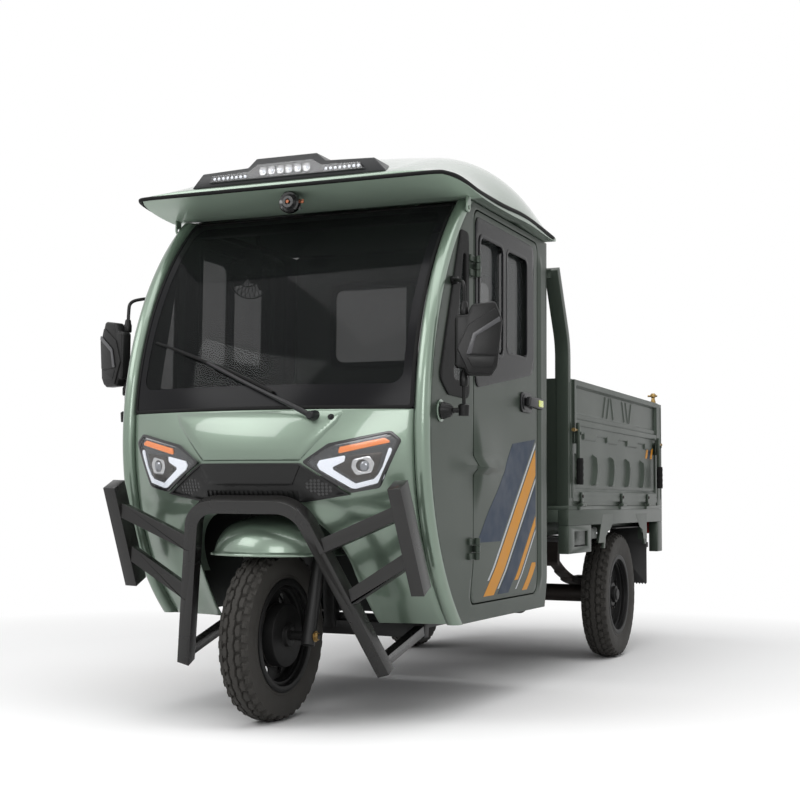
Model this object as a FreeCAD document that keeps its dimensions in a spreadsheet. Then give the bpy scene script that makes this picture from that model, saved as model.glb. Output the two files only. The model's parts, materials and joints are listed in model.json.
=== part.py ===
import FreeCAD, Part, Sketcher
import math
import os
import re

# Enclosed electric cargo tricycle: one steered wheel under a curved nose, a closed two-door cab,
# and behind it an open load bed with drop sides that tips over the end of the chassis.
# X runs across the vehicle (its left side is positive), Y runs rearward, Z is up.
# The pieces are laid out from the front axle, and each node is then moved by frame_shift,
# so that the origin lies under the middle of the whole vehicle.

V = FreeCAD.Vector
doc = FreeCAD.newDocument("enclosed_cargo_tricycle")

# Driving dimensions in millimetres and degrees: name, size, what it measures
DIMS = (
    ("frame_shift", -1257, "front axle to the middle of the vehicle, negative is forward"),
    ("wheel_base", 2120, "front axle to rear axle"),
    ("track_rear", 898, "between the rear wheel centres"),
    ("front_tyre_rad", 250, "front tyre outer radius"),
    ("front_tyre_wide", 96, "front tyre width"),
    ("rear_tyre_rad", 260, "rear tyre outer radius"),
    ("rear_tyre_wide", 106, "rear tyre width"),
    ("bead_rad", 152, "rim seat radius of the 12 inch rims"),
    ("rim_flange_rad", 166, "rim flange radius"),
    ("rim_half", 44, "half the width of a rim"),
    ("rim_wall", 5, "rim plate thickness"),
    ("rim_hole_rad", 15, "holes in the rim disc"),
    ("rim_hole_pitch", 112, "radius of the circle of rim holes"),
    ("hub_rad", 34, "wheel hub radius"),
    ("drum_rad", 92, "brake drum radius"),
    ("drum_wide", 46, "brake drum width"),
    ("axle_rad", 8, "front axle pin radius"),
    ("run_gap", 0.5, "running gap at hubs and pins"),
    ("seat_gap", 0.3, "gap between pieces that are bolted on"),
    ("rake_deg", 16, "steering axis rake"),
    ("leg_spread", 118, "fork leg centre to the middle"),
    ("leg_rad", 21, "fork leg radius"),
    ("column_rad", 18, "steering column radius"),
    ("clamp_along", 392, "axle to the fork crown along the steering axis"),
    ("clamp_tall", 22, "fork crown thickness"),
    ("head_tall", 80, "head tube length"),
    ("head_rad", 32, "head tube radius"),
    ("column_top", 735, "axle to the top of the column along the steering axis"),
    ("steer_half", 210, "half of the straight part of the handlebar"),
    ("steer_rad", 12, "handlebar tube radius"),
    ("grip_rad", 17, "grip radius"),
    ("fender_half", 203, "front fender lip radius"),
    ("fender_tall", 120, "front fender height"),
    ("fender_low", 484, "front fender lip height"),
    ("fender_mid", 27, "front fender centre behind the axle"),
    ("fender_wall", 5, "front fender thickness"),
    ("cab_half", 514, "half the cab width"),
    ("cab_wall", 35, "door and side wall thickness"),
    ("cab_rear", 1050, "rear face of the cab"),
    ("cab_top", 1568, "top of the cab sides"),
    ("sill_low", 280, "lower edge of the cab"),
    ("apex_ahead", 43, "side seam ahead of the axle at its foremost point"),
    ("apex_high", 850, "height of the foremost point of the seam"),
    ("upper_bend", 933, "radius of the seam above that point"),
    ("lower_bend", 743, "radius of the seam below that point"),
    ("pillar_wide", 46, "front pillar width"),
    ("pillar_deep", 24, "front pillar depth"),
    ("cowl_high", 906, "lower edge of the windshield"),
    ("glass_crown", 86, "bow of the windshield at its foot"),
    ("glass_wall", 6, "glass thickness"),
    ("nose_crown", 122, "largest bow of the nose in plan"),
    ("nose_wall", 28, "nose panel thickness"),
    ("nose_ahead", 10, "nose and windshield edges ahead of the side seam"),
    ("arch_half", 257, "half width of the front arch where its sides begin to curve in"),
    ("arch_flare", 272, "half width of the front arch at its foot"),
    ("arch_high", 636, "top of the front arch"),
    ("arch_bend_high", 430, "height where the arch's sides begin to curve in"),
    ("hood_proud", 6, "hood panel stands proud of the nose"),
    ("hood_half", 277, "half width of the hood at its upper edge"),
    ("hood_less", 5, "hood's upper edge below the windshield"),
    ("hood_foot_half", 160, "half width of the hood at its lower edge"),
    ("hood_low", 757, "lower edge of the hood"),
    ("lamp_proud", 11, "headlamp and grille rims stand proud of the nose"),
    ("lamp_back", 3, "headlamp and grille back plates stand proud of the nose"),
    ("lamp_inset", 2, "lamp strips and bars behind the lamp's rim"),
    ("lamp_rim", 9, "width of the headlamp's rim"),
    ("beam_out", 340, "headlamp beam to the middle"),
    ("beam_high", 744, "height of the headlamp beam"),
    ("beam_rad", 31, "headlamp beam radius"),
    ("grille_rim", 5, "width of the grille's rim"),
    ("rib_span", 296, "grille ribs, from the first to the last"),
    ("rib_wide", 8, "grille rib width"),
    ("rib_low", 645, "lower end of the grille ribs"),
    ("rib_top", 670, "upper end of the grille ribs"),
    ("bar_low", 690, "lower edge of the grille's plain bar"),
    ("bar_half", 138, "half width of the grille's plain bar"),
    ("comb_out", 212, "middle of the honeycomb patch"),
    ("comb_high", 682, "height of the honeycomb patch's middle"),
    ("comb_half", 42, "half width of the honeycomb patch"),
    ("comb_tall", 27, "half height of the honeycomb patch"),
    ("comb_pitch", 11, "honeycomb pitch"),
    ("comb_web", 2.4, "wall between the honeycomb's holes"),
    ("door_front", 310, "front edge of the door"),
    ("door_rear", 937, "rear edge of the door"),
    ("door_low", 337, "lower edge of the door"),
    ("door_top", 1545, "upper edge of the door"),
    ("door_gap", 5, "gap round the doors"),
    ("door_bend", 34, "door corner radius"),
    ("pane_front", 345, "front edge of the door window"),
    ("pane_rear", 852, "rear edge of the door window"),
    ("pane_low", 1040, "lower front corner of the door window"),
    ("pane_slope", 62, "rise of the window sill to the rear"),
    ("pane_top", 1502, "upper edge of the door window"),
    ("pane_bend", 40, "window corner radius"),
    ("pane_lap", 8, "black frame step round the glass"),
    ("hinge_rad", 9, "door hinge knuckle radius"),
    ("hinge_tall", 66, "door hinge height"),
    ("hinge_leaf", 5, "hinge leaf thickness"),
    ("hinge_reach", 46, "hinge leaf length"),
    ("hinge_low", 470, "lower door hinge"),
    ("hinge_high", 1332, "upper door hinge"),
    ("rear_pane_half", 318, "half width of the rear window"),
    ("rear_pane_low", 1150, "lower edge of the rear window"),
    ("rear_pane_top", 1450, "upper edge of the rear window"),
    ("floor_low", 300, "underside of the cab floor"),
    ("floor_wall", 24, "cab floor thickness"),
    ("wall_rear_of_wheel", 342, "face of the bulkhead behind the front wheel"),
    ("roof_over", 42, "roof edge outside the cab side"),
    ("roof_low", 1570, "drip edge height"),
    ("roof_top", 1800, "top of the roof dome"),
    ("roof_front", 18, "visor edge behind the axle"),
    ("roof_rear", 1040, "rear edge of the roof"),
    ("roof_wall", 22, "roof thickness"),
    ("roof_lip", 12, "drip edge thickness"),
    ("eye_back", 246, "roof eyes behind the axle"),
    ("eye_drop", 29, "roof eyes below the top of the cab sides"),
    ("eye_bore_rad", 7, "hole in the roof eye brackets"),
    ("eye_rad", 15, "roof eye bracket radius"),
    ("eye_wall", 6, "roof eye bracket thickness"),
    ("roof_lamp_half", 343, "half width of the roof lamp at its foot"),
    ("roof_lamp_low", 44, "foot of the roof lamp above the drip edge"),
    ("roof_lamp_wing", 96, "top of the roof lamp's wings above the drip edge"),
    ("roof_lamp_lean", 47, "roof lamp's ends lean in"),
    ("roof_lamp_step", 134, "half width of the raised middle of the roof lamp"),
    ("roof_lamp_top", 128, "top of the roof lamp above the drip edge"),
    ("roof_lamp_back", 20, "face of the roof lamp behind the visor's edge"),
    ("roof_lamp_deep", 170, "depth of the roof lamp"),
    ("roof_lamp_rim", 18, "width of the rim round the roof lamp's lens"),
    ("roof_lens_wall", 7, "roof lamp lens thickness"),
    ("horn_rad", 34, "horn radius"),
    ("horn_deep", 30, "horn depth"),
    ("horn_front", 62, "front face of the horn"),
    ("horn_drop", 12, "horn below the drip edge"),
    ("wiper_out", 195, "wiper pivot to the middle"),
    ("wiper_high", 886, "height of the wiper pivot"),
    ("wiper_arm_rad", 5, "wiper arm radius"),
    ("wiper_blade_rad", 6, "wiper blade radius"),
    ("wiper_lift", 9, "wiper blade's middle line ahead of the glass"),
    ("rail_gap", 15, "between a chassis rail and the leaf spring outside it"),
    ("rail_wide", 40, "chassis rail width"),
    ("rail_tall", 58, "chassis rail height"),
    ("rail_top", 500, "top of the rear chassis rails"),
    ("rail_end", 2650, "rear end of the chassis"),
    ("low_rail_front", 352, "front end of the chassis rails"),
    ("axle_tube_rad", 36, "rear axle tube radius"),
    ("rear_hub_in", 60.5, "rear wheel centre to the inner end of its hub"),
    ("case_rad", 96, "differential case radius"),
    ("spring_gap", 41, "between a leaf spring and the rear tyre outside it"),
    ("spring_wide", 50, "leaf width"),
    ("spring_reach", 400, "half the length of the leaf springs"),
    ("spring_drop", 92, "camber of the leaf springs"),
    ("leaf_wall", 9, "leaf thickness"),
    ("battery_front", 1140, "front face of the battery box"),
    ("battery_rear", 1700, "rear face of the battery box"),
    ("battery_low", 296, "underside of the battery box"),
    ("battery_top", 486, "top of the battery box"),
    ("bed_half", 537, "half the bed width"),
    ("bed_front", 1236, "front of the bed"),
    ("bed_rear", 2745, "rear of the bed"),
    ("bed_low", 560, "underside of the bed floor frame"),
    ("bed_floor_top", 635, "load floor height"),
    ("bed_plate", 14, "load floor plate thickness"),
    ("load_step", 3, "load floor above the edge that the posts stand on"),
    ("bearer_deep", 46, "height of the cross bearers under the load floor"),
    ("bearer_wide", 44, "width of the cross bearers"),
    ("beam_wide", 40, "width of the beams along the bed's sides"),
    ("bed_top", 1100, "top of the bed sides"),
    ("post_front_deep", 54, "front corner post depth"),
    ("post_rear_deep", 92, "rear corner post depth"),
    ("post_wide", 44, "corner post width"),
    ("post_front_low", 457, "foot of the front posts"),
    ("post_rear_low", 424, "foot of the rear posts"),
    ("gate_wall", 30, "drop side thickness"),
    ("gate_gap", 6, "gap round the drop sides"),
    ("gate_hinge_rad", 8, "drop side hinge knuckle radius"),
    ("gate_hinge_long", 60, "drop side hinge length"),
    ("gate_rib_half", 22, "half the width of a drop side rib"),
    ("gate_slot_long", 74, "length of the slots over the ribs"),
    ("gate_slot_tall", 15, "height of those slots"),
    ("gate_slot_high", 884, "height of those slots' middle"),
    ("strut_wide", 46, "width of the skirt's struts at the top"),
    ("strut_foot", 26, "width of the skirt's struts at the foot"),
    ("strut_step", 52, "height of the struts' narrow part"),
    ("flap_low", 284, "lower edge of the mud flaps"),
    ("flap_in", 370, "inner edge of the mud flaps"),
    ("flap_teeth", 12, "teeth along the lower edge of a mud flap"),
    ("flap_tooth", 7, "depth of those teeth"),
    ("rack_wide", 50, "rack tube width"),
    ("rack_deep", 32, "rack tube depth"),
    ("rack_top", 1486, "top of the rack"),
    ("rack_front", 1118, "front of the rack"),
    ("tip_high", 482, "tipping pin height"),
    ("tip_back", 2615, "tipping pin behind the axle"),
    ("tip_rad", 11, "tipping pin radius"),
    ("hoop_tube", 40, "bull bar tube size"),
    ("hoop_bend", 92, "bull bar corner radius"),
    ("hoop_top", 632, "centre of the hoop's top tube"),
    ("hoop_foot", 150, "foot of the hoop"),
    ("hoop_top_ahead", 176, "hoop top ahead of the axle"),
    ("hoop_foot_behind", 62, "hoop foot behind the axle"),
    ("hoop_top_half", 168, "half width of the hoop at its top corners"),
    ("hoop_foot_half", 338, "half width of the hoop at its feet"),
    ("post_bar_deep", 58, "bull bar end post depth"),
    ("mirror_reach", 141, "mirror head centre outside the cab side"),
    ("mirror_half_wide", 52, "half the mirror head width"),
    ("mirror_low", 1008, "lower edge of the mirror head"),
    ("mirror_top", 1215, "upper edge of the mirror head"),
    ("mirror_rod", 6, "mirror rod radius"),
    ("mirror_front", 72, "front face of the mirror head"),
    ("mirror_deep", 32, "mirror head depth"),
    ("mirror_stem_in", 62, "mirror stem inside the head centre"),
    ("mirror_arm_high", 1271, "upper elbow of the mirror stem"),
    ("mirror_arm_low", 906, "lower elbow of the mirror stem"),
    ("mirror_root_high", 1296, "upper mirror bracket"),
    ("mirror_stud", 1110, "stud that carries the mirror head"),
    ("mirror_boss", 8, "raised field on the back of the mirror head"),
    ("quarter_post", 72, "quarter window to the front edge of the door"),
    ("quarter_low", 972, "lower edge of the quarter window"),
    ("quarter_top", 1420, "upper corner of the quarter window"),
    ("quarter_foot_in", 95, "quarter window's lower corner behind the seam"),
    ("quarter_top_in", 55, "quarter window's upper corner behind the seam"),
    ("handle_low", 958, "lower edge of the door handle"),
    ("handle_tall", 46, "height of the door handle's base"),
    ("shelf_top", 722, "top of the bulkhead over the front wheel"),
    ("shelf_wall", 16, "bulkhead thickness"),
    ("dash_side", 39, "dashboard end to the side wall"),
    ("dash_front", 30, "front of the dashboard"),
    ("seat_half", 240, "half the seat width"),
    ("seat_front", 590, "front of the seat cushion"),
    ("seat_rear", 960, "rear of the seat cushion"),
    ("seat_low", 470, "top of the seat box"),
    ("seat_top", 552, "top of the seat cushion"),
    ("backrest_top", 985, "top of the backrest"),
    ("header_deep", 48, "depth of the header over the windshield"),
    ("header_in", 12, "header behind the seam"),
    ("fan_out", 300, "cab fan to the middle"),
    ("fan_high", 1405, "height of the cab fan"),
    ("fan_rad", 92, "cab fan cage radius"),
    ("fan_deep", 52, "cab fan cage depth"),
    ("fan_ahead", 41, "front of the fan cage ahead of the header's rear face"),
    ("guard_half", 466, "bull bar end posts to the middle, at their tops"),
    ("guard_foot_half", 478, "bull bar end posts to the middle, at their feet"),
    ("guard_top", 690, "top of the bull bar's end posts"),
    ("guard_foot", 392, "foot of the bull bar's end posts"),
)

# Sizes that follow from the ones above
WORKED_OUT = {
    "axle_half": "track_rear/2-rear_hub_in-run_gap",
    "spring_half": "track_rear/2-rear_tyre_wide/2-spring_gap-spring_wide/2",
    "rail_half": "spring_half-spring_wide/2-rail_gap-rail_wide/2",
    "battery_half": "rail_half-rail_wide/2-seat_gap",
    "low_rail_top": "floor_low-seat_gap",
    "roof_half": "cab_half+roof_over",
    "mirror_out": "cab_half+mirror_reach",
    "inner_half": "cab_half-cab_wall-seat_gap",
    "plate_low": "bed_floor_top-load_step-bed_plate",
}

NAMES = {name for name, size, note in DIMS}
sheet = doc.addObject("Spreadsheet::Sheet", "dims")
for row, (name, size, note) in enumerate(DIMS, 1):
    sheet.set("A%d" % row, str(size))
    sheet.setAlias("A%d" % row, name)
    sheet.set("B%d" % row, note)
doc.recompute()


def bound(text):
    """An expression in which each size name points at the sheet, or stands for its own formula."""
    def pointed(match):
        name = match.group(0)
        if name in WORKED_OUT:
            return "(%s)" % bound(WORKED_OUT[name])
        return "dims." + name if name in NAMES else name
    return re.sub(r"[a-z][a-z_]*", pointed, text)


class Sizes:
    """The same sizes as numbers, for the shapes that are worked out in code."""


d = Sizes()
for name in NAMES:
    setattr(d, name, float(sheet.get(name)))
scale = doc.addObject("App::FeaturePython", "worked_out")
for name in WORKED_OUT:
    scale.addProperty("App::PropertyFloat", name)
    scale.setExpression(name, bound(name))
doc.recompute()
for name in WORKED_OUT:
    setattr(d, name, float(getattr(scale, name)))


# Making and placing pieces

TURN = {
    "x": FreeCAD.Rotation(V(0, 1, 0), 90),
    "y": FreeCAD.Rotation(V(1, 0, 0), -90),
    "z": FreeCAD.Rotation(),
}
FACING = {
    "yz": (FreeCAD.Rotation(V(0, 1, 0), V(0, 0, 1), V(1, 0, 0)), V(1, 0, 0), "x"),
    "xz": (FreeCAD.Rotation(V(1, 0, 0), V(0, 0, 1), V(0, -1, 0)), V(0, 1, 0), "y"),
    "xy": (FreeCAD.Rotation(), V(0, 0, 1), "z"),
}
counts = {}
nodes = []


def fresh(kind):
    """A new object name, numbered within its kind."""
    counts[kind] = counts.get(kind, 0) + 1
    return "%s_%d" % (kind, counts[kind])


def box(x, y, z):
    """A block between pairs of expressions."""
    part = doc.addObject("Part::Box", fresh("block"))
    for axis, size, (low, high) in zip("xyz", ("Length", "Width", "Height"), (x, y, z)):
        part.setExpression(size, bound("(%s)-(%s)" % (high, low)))
        part.setExpression("Placement.Base." + axis, bound(low))
    return part


def both(low, high):
    """The same span on the left and on the right."""
    return (low, high), ("-(%s)" % high, "-(%s)" % low)


def cylinder(axis, start, radius, length):
    """A round bar along a main axis, from its start point."""
    part = doc.addObject("Part::Cylinder", fresh("round"))
    part.Placement = FreeCAD.Placement(V(), TURN[axis])
    part.setExpression("Radius", bound(radius))
    part.setExpression("Height", bound(length))
    for name, text in zip("xyz", start):
        part.setExpression("Placement.Base." + name, bound(text))
    return part


def outline(points):
    """A sketch of a closed polygon whose corners are pairs of expressions."""
    sketch = doc.addObject("Sketcher::SketchObject", fresh("outline"))
    many = len(points)
    step = 2 * math.pi / many
    ring = [V(math.cos(step * i), 3 + math.sin(step * i), 0) * 60 for i in range(many)]
    for i in range(many):
        sketch.addGeometry(Part.LineSegment(ring[i], ring[(i + 1) % many]), False)
    for i in range(many):
        sketch.addConstraint(Sketcher.Constraint("Coincident", i, 2, (i + 1) % many, 1))
    for i, pair in enumerate(points):
        for kind, text, first in zip(("DistanceX", "DistanceY"), pair, (ring[i].x, ring[i].y)):
            number = sketch.addConstraint(Sketcher.Constraint(kind, -1, 1, i, 1, first))
            sketch.setExpression("Constraints[%d]" % number, bound(text))
    return sketch


def profile(plane, points, start, end):
    """A polygon of expression pairs in a main plane, extruded between two places."""
    sketch = outline(points)
    turn, along, axis = FACING[plane]
    sketch.Placement = FreeCAD.Placement(V(), turn)
    part = doc.addObject("Part::Extrusion", fresh("plate"))
    part.Base = sketch
    part.DirMode = "Custom"
    part.Dir = along
    part.Solid = True
    part.setExpression("LengthFwd", bound("(%s)-(%s)" % (end, start)))
    part.setExpression("Placement.Base." + axis, bound(start))
    return part


def spun(points, x):
    """A closed outline of (across, radius) pairs, turned about an axis along X at the given place."""
    part = doc.addObject("Part::Revolution", fresh("turned"))
    part.Source = outline(points)
    part.Axis = V(1, 0, 0)
    part.Base = V()
    part.Angle = 360
    part.Solid = True
    for name, text in zip("xyz", x):
        part.setExpression("Placement.Base." + name, bound(text))
    return part


def solid(shape):
    """A shape worked out with Part's own functions."""
    part = doc.addObject("Part::Feature", fresh("shape"))
    part.Shape = shape
    return part


def fuse(*parts):
    part = doc.addObject("Part::MultiFuse", fresh("joined"))
    part.Shapes = list(parts)
    part.Refine = True
    return part


def common(*parts):
    part = doc.addObject("Part::MultiCommon", fresh("shared"))
    part.Shapes = list(parts)
    return part


def cut(base, *tools):
    part = doc.addObject("Part::Cut", fresh("cut"))
    part.Base = base
    part.Tool = tools[0] if len(tools) == 1 else fuse(*tools)
    return part


def mirrored(part):
    """The same piece on the other side of the vehicle."""
    other = doc.addObject("Part::Mirroring", fresh("mirrored"))
    other.Source = part
    other.Base = V()
    other.Normal = V(1, 0, 0)
    return other


def rounded(part, radius, along, picks=None):
    """Fillets of one radius on the straight edges that run along an axis."""
    doc.recompute()
    fillet = doc.addObject("Part::Fillet", fresh("fillet"))
    fillet.Base = part
    edges = []
    for number, edge in enumerate(part.Shape.Edges, 1):
        if edge.Curve.TypeId != "Part::GeomLine":
            continue
        run = edge.Vertexes[1].Point.sub(edge.Vertexes[0].Point)
        if abs(abs(run.normalize().dot(along)) - 1) < 1e-6 and (picks is None or picks(edge.CenterOfMass)):
            edges.append((number, radius, radius))
    fillet.Edges = edges
    return fillet


def round_rims(part, radius):
    """Fillets of one radius on the circular edges of a turned piece."""
    doc.recompute()
    fillet = doc.addObject("Part::Fillet", fresh("fillet"))
    fillet.Base = part
    fillet.Edges = [(number, radius, radius) for number, edge in enumerate(part.Shape.Edges, 1)
                    if edge.Curve.TypeId == "Part::GeomCircle"]
    return fillet


def rod(start, end, radius):
    """A round bar between two points."""
    run = V(*end).sub(V(*start))
    part = doc.addObject("Part::Cylinder", fresh("rod"))
    part.setExpression("Radius", bound(radius))
    part.Height = run.Length
    part.Placement = FreeCAD.Placement(V(*start), FreeCAD.Rotation(V(0, 0, 1), run))
    return part


def bar(start, end, side, wide, deep):
    """A square-edged tube between two points; side is the direction of its width."""
    start, end = V(*start), V(*end)
    run = end.sub(start)
    part = doc.addObject("Part::Box", fresh("bar"))
    part.Length, part.Width, part.Height = wide, deep, run.Length
    turn = FreeCAD.Rotation(side, V(), run, "ZXY")
    part.Placement = FreeCAD.Placement(start.sub(turn.multVec(V(wide / 2, deep / 2, 0))), turn)
    return part


def node(name, *parts):
    """One named sub-part of the vehicle, moved from the axle's frame to the vehicle's."""
    part = doc.addObject("Part::Compound", name)
    part.Label = name
    part.Links = list(parts)
    part.setExpression("Placement.Base.y", bound("frame_shift"))
    nodes.append(part)


# A tube bent in one plane: its centre line is a list of corners

def bent_edges(points, bends):
    """Straight edges between corners, with a tangent arc at each inner corner."""
    edges = []
    at = points[0]
    for i in range(1, len(points) - 1):
        back = points[i - 1].sub(points[i]).normalize()
        ahead = points[i + 1].sub(points[i]).normalize()
        half_turn = (math.pi - back.getAngle(ahead)) / 2
        reach = bends[i] * math.tan(half_turn)
        into = back.add(ahead).normalize()
        first = points[i].add(back * reach)
        last = points[i].add(ahead * reach)
        middle = points[i].add(into * (bends[i] / math.cos(half_turn) - bends[i]))
        edges.append(Part.LineSegment(at, first).toShape())
        edges.append(Part.Arc(first, middle, last).toShape())
        at = last
    edges.append(Part.LineSegment(at, points[-1]).toShape())
    return edges


def bent_tube(points, normal, wide, deep, bend):
    """A flat-sided tube along corners in one plane, wide across that plane's normal."""
    runs = [points[i + 1].sub(points[i]).normalize() for i in range(len(points) - 1)]
    sides = [run.cross(normal).normalize() for run in runs]
    rails = {}
    for hand in (1, -1):
        shifted = [points[0].add(sides[0] * (hand * deep / 2))]
        bends = [0]
        for i in range(1, len(points) - 1):
            mitre = sides[i - 1].add(sides[i]).normalize()
            shifted.append(points[i].add(mitre * (hand * deep / 2 / mitre.dot(sides[i]))))
            outside = mitre.dot(runs[i].sub(runs[i - 1])) < 0
            bends.append(bend + (deep / 2 if outside == (hand > 0) else -deep / 2))
        shifted.append(points[-1].add(sides[-1] * (hand * deep / 2)))
        rails[hand] = bent_edges(shifted, bends), shifted[0], shifted[-1]
    ends = [Part.LineSegment(rails[1][k], rails[-1][k]).toShape() for k in (1, 2)]
    wire = Part.Wire(Part.__sortEdges__(rails[1][0] + rails[-1][0] + ends))
    face = Part.Face(wire)
    face.translate(normal * (-wide / 2))
    return solid(face.extrude(normal * wide))


# The seam curve of the cab, seen from the side: two arcs that meet at the foremost point

def seam(z):
    """How far behind the axle the seam lies at a height."""
    bend = d.upper_bend if z > d.apex_high else d.lower_bend
    return bend - d.apex_ahead - math.sqrt(bend ** 2 - (z - d.apex_high) ** 2)


def bowed(z, crown, half, front, back):
    """A closed ring in plan, bowed forward by crown, between two offsets from the seam."""
    at = seam(z) - d.nose_ahead
    outer = Part.Arc(V(-half, at + front, z), V(0, at - crown + front, z), V(half, at + front, z))
    inner = Part.Arc(V(-half, at + back, z), V(0, at - crown + back, z), V(half, at + back, z))
    ends = [Part.LineSegment(V(side * half, at + front, z), V(side * half, at + back, z)) for side in (-1, 1)]
    return Part.Wire(Part.__sortEdges__([edge.toShape() for edge in [outer, inner] + ends]))


# Share of the nose's height, share of its crown
NOSE_SECTIONS = ((1.0, 0.71), (0.84, 0.92), (0.67, 1.0), (0.51, 0.9), (0.35, 0.68), (0.19, 0.57), (0.0, 0.55))
# Share of the windshield's height, share of its crown
GLASS_SECTIONS = ((0.0, 1.0), (0.33, 0.6), (0.66, 0.26), (1.0, 0.03))
nose_half = d.cab_half - d.pillar_wide
glass_top = d.cab_top - 3


def nose_band(front, back):
    """A curved plate that follows the nose between two offsets."""
    rings = []
    for share, crown in NOSE_SECTIONS:
        z = d.sill_low + share * (d.cowl_high - d.sill_low)
        rings.append(bowed(z, crown * d.nose_crown, nose_half, front, back))
    return solid(Part.makeLoft(rings, True, False))


def glass_band(front, back):
    """A curved plate that follows the windshield between two offsets."""
    rings = []
    for share, crown in GLASS_SECTIONS:
        z = d.cowl_high + share * (glass_top - d.cowl_high)
        rings.append(bowed(z, crown * d.glass_crown, nose_half, front, back))
    return solid(Part.makeLoft(rings, True, False))


# Wheels

def tyre(radius, wide, x, y, z):
    """A tyre with rounded shoulders on its bead seat."""
    # Share of the half width, height
    half = (("0.6", "%s" % radius), ("0.92", "%s-12" % radius), ("1", "%s-35" % radius),
            ("1", "rim_flange_rad+20"))
    bead = (("rim_half-3.5", "rim_flange_rad+1"), ("rim_half-3.5", "bead_rad+seat_gap"))
    right = [("%s*%s/2" % (share, wide), height) for share, height in half] + list(bead)
    left = [("-(%s)" % across, height) for across, height in reversed(right)]
    return spun(right + left, (x, y, z))


def rim(x, y, z, hub_in, hub_out, drum_side):
    """A pressed steel rim: barrel, pierced disc, hub and brake drum."""
    barrel = spun((
        ("-rim_half-2", "rim_flange_rad"), ("-rim_half+2", "rim_flange_rad"), ("-rim_half+3", "bead_rad"),
        ("-rim_half+20", "bead_rad-2"), ("-rim_half+28", "bead_rad-14"), ("rim_half-28", "bead_rad-14"),
        ("rim_half-20", "bead_rad-2"), ("rim_half-3", "bead_rad"), ("rim_half-2", "rim_flange_rad"),
        ("rim_half+2", "rim_flange_rad"), ("rim_half+1", "bead_rad-rim_wall"),
        ("rim_half-17", "bead_rad-2-rim_wall"), ("rim_half-25", "bead_rad-14-rim_wall"),
        ("-rim_half+25", "bead_rad-14-rim_wall"), ("-rim_half+17", "bead_rad-2-rim_wall"),
        ("-rim_half-1", "bead_rad-rim_wall"),
    ), (x, y, z))
    disc = cylinder("x", ("%s-rim_wall/2" % x, y, z), "bead_rad-15", "rim_wall")
    hub = cylinder("x", ("%s-%s" % (x, hub_in), y, z), "hub_rad", "%s+%s" % (hub_in, hub_out))
    drum_start = "%s-rim_wall/2-drum_wide" % x if drum_side < 0 else "%s+rim_wall/2" % x
    drum = cylinder("x", (drum_start, y, z), "drum_rad", "drum_wide")
    holes = []
    for k in range(8):
        turn = "%d" % (45 * k + 22)
        holes.append(cylinder("x", ("%s-rim_wall" % x, "%s+rim_hole_pitch*cos(%s)" % (y, turn),
                                    "%s+rim_hole_pitch*sin(%s)" % (z, turn)), "rim_hole_rad", "rim_wall*2"))
    bore = cylinder("x", ("%s-%s-1" % (x, hub_in), y, z), "axle_rad+run_gap", "%s+%s+2" % (hub_in, hub_out))
    return cut(fuse(barrel, cut(disc, *holes), hub, drum), bore)


node("front_tyre", tyre("front_tyre_rad", "front_tyre_wide", "0", "0", "front_tyre_rad"))
node("front_rim", rim("0", "0", "front_tyre_rad", "62", "62", 1))
for side, sign in (("left", 1), ("right", -1)):
    middle = "%d*track_rear/2" % sign
    inner = "(track_rear/2-axle_half-run_gap)"
    node("rear_tyre_" + side, tyre("rear_tyre_rad", "rear_tyre_wide", middle, "wheel_base", "rear_tyre_rad"))
    reach = (inner, "34") if sign > 0 else ("34", inner)
    node("rear_rim_" + side, rim(middle, "wheel_base", "rear_tyre_rad", reach[0], reach[1], -sign))


# Fork, fender and handlebar turn together about the raked steering axis

rake = V(0, math.sin(math.radians(d.rake_deg)), math.cos(math.radians(d.rake_deg)))
axle = V(0, 0, d.front_tyre_rad)


def on_axis(along, across=0.0):
    """A point beside the steering axis, by its distance from the axle."""
    point = axle + rake * along
    return (across, point.y, point.z)


legs = []
for sign in (1, -1):
    out = sign * d.leg_spread
    legs.append(rod(on_axis(-26, out), on_axis(d.clamp_along - 12, out), "leg_rad"))
crown = bar(on_axis(d.clamp_along), on_axis(d.clamp_along - d.clamp_tall), V(1, 0, 0),
            2 * (d.leg_spread + d.leg_rad + 4), 62)
column = rod(on_axis(d.clamp_along - 4), on_axis(d.column_top - 24), "column_rad")
axle_pin = cylinder("x", ("-leg_spread-leg_rad-12", "0", "front_tyre_rad"), "axle_rad",
                    "2*(leg_spread+leg_rad+12)")
spacers = [cylinder("x", (start, "0", "front_tyre_rad"), "axle_rad+6", "leg_spread-62-run_gap")
           for start in ("62+run_gap", "-leg_spread")]
node("fork", fuse(*legs, crown, column, axle_pin, *spacers))


def dome(less):
    """The fender as a full turned body, with its crown and its side moved in by a wall."""
    def at(across, up):
        return V(across * (d.fender_half - less), d.fender_mid, d.fender_low + up * (d.fender_tall - less))
    edges = [
        Part.Arc(at(0, 1), at(0.38, 0.945), at(0.7, 0.75)),
        Part.Arc(at(0.7, 0.75), at(0.86, 0.48), at(0.94, 0.1)),
        Part.LineSegment(at(0.94, 0.1), at(1, 0)),
        Part.LineSegment(at(1, 0), at(0, 0)),
        Part.LineSegment(at(0, 0), at(0, 1)),
    ]
    face = Part.Face(Part.Wire([edge.toShape() for edge in edges]))
    return solid(face.revolve(V(0, d.fender_mid, 0), V(0, 0, 1), 360))


leg_holes = []
for sign in (1, -1):
    leg_holes.append(rod(on_axis(120, sign * d.leg_spread), on_axis(d.clamp_along, sign * d.leg_spread),
                         "leg_rad+seat_gap"))
node("front_fender", cut(dome(0), dome(d.fender_wall), *leg_holes))

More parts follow.
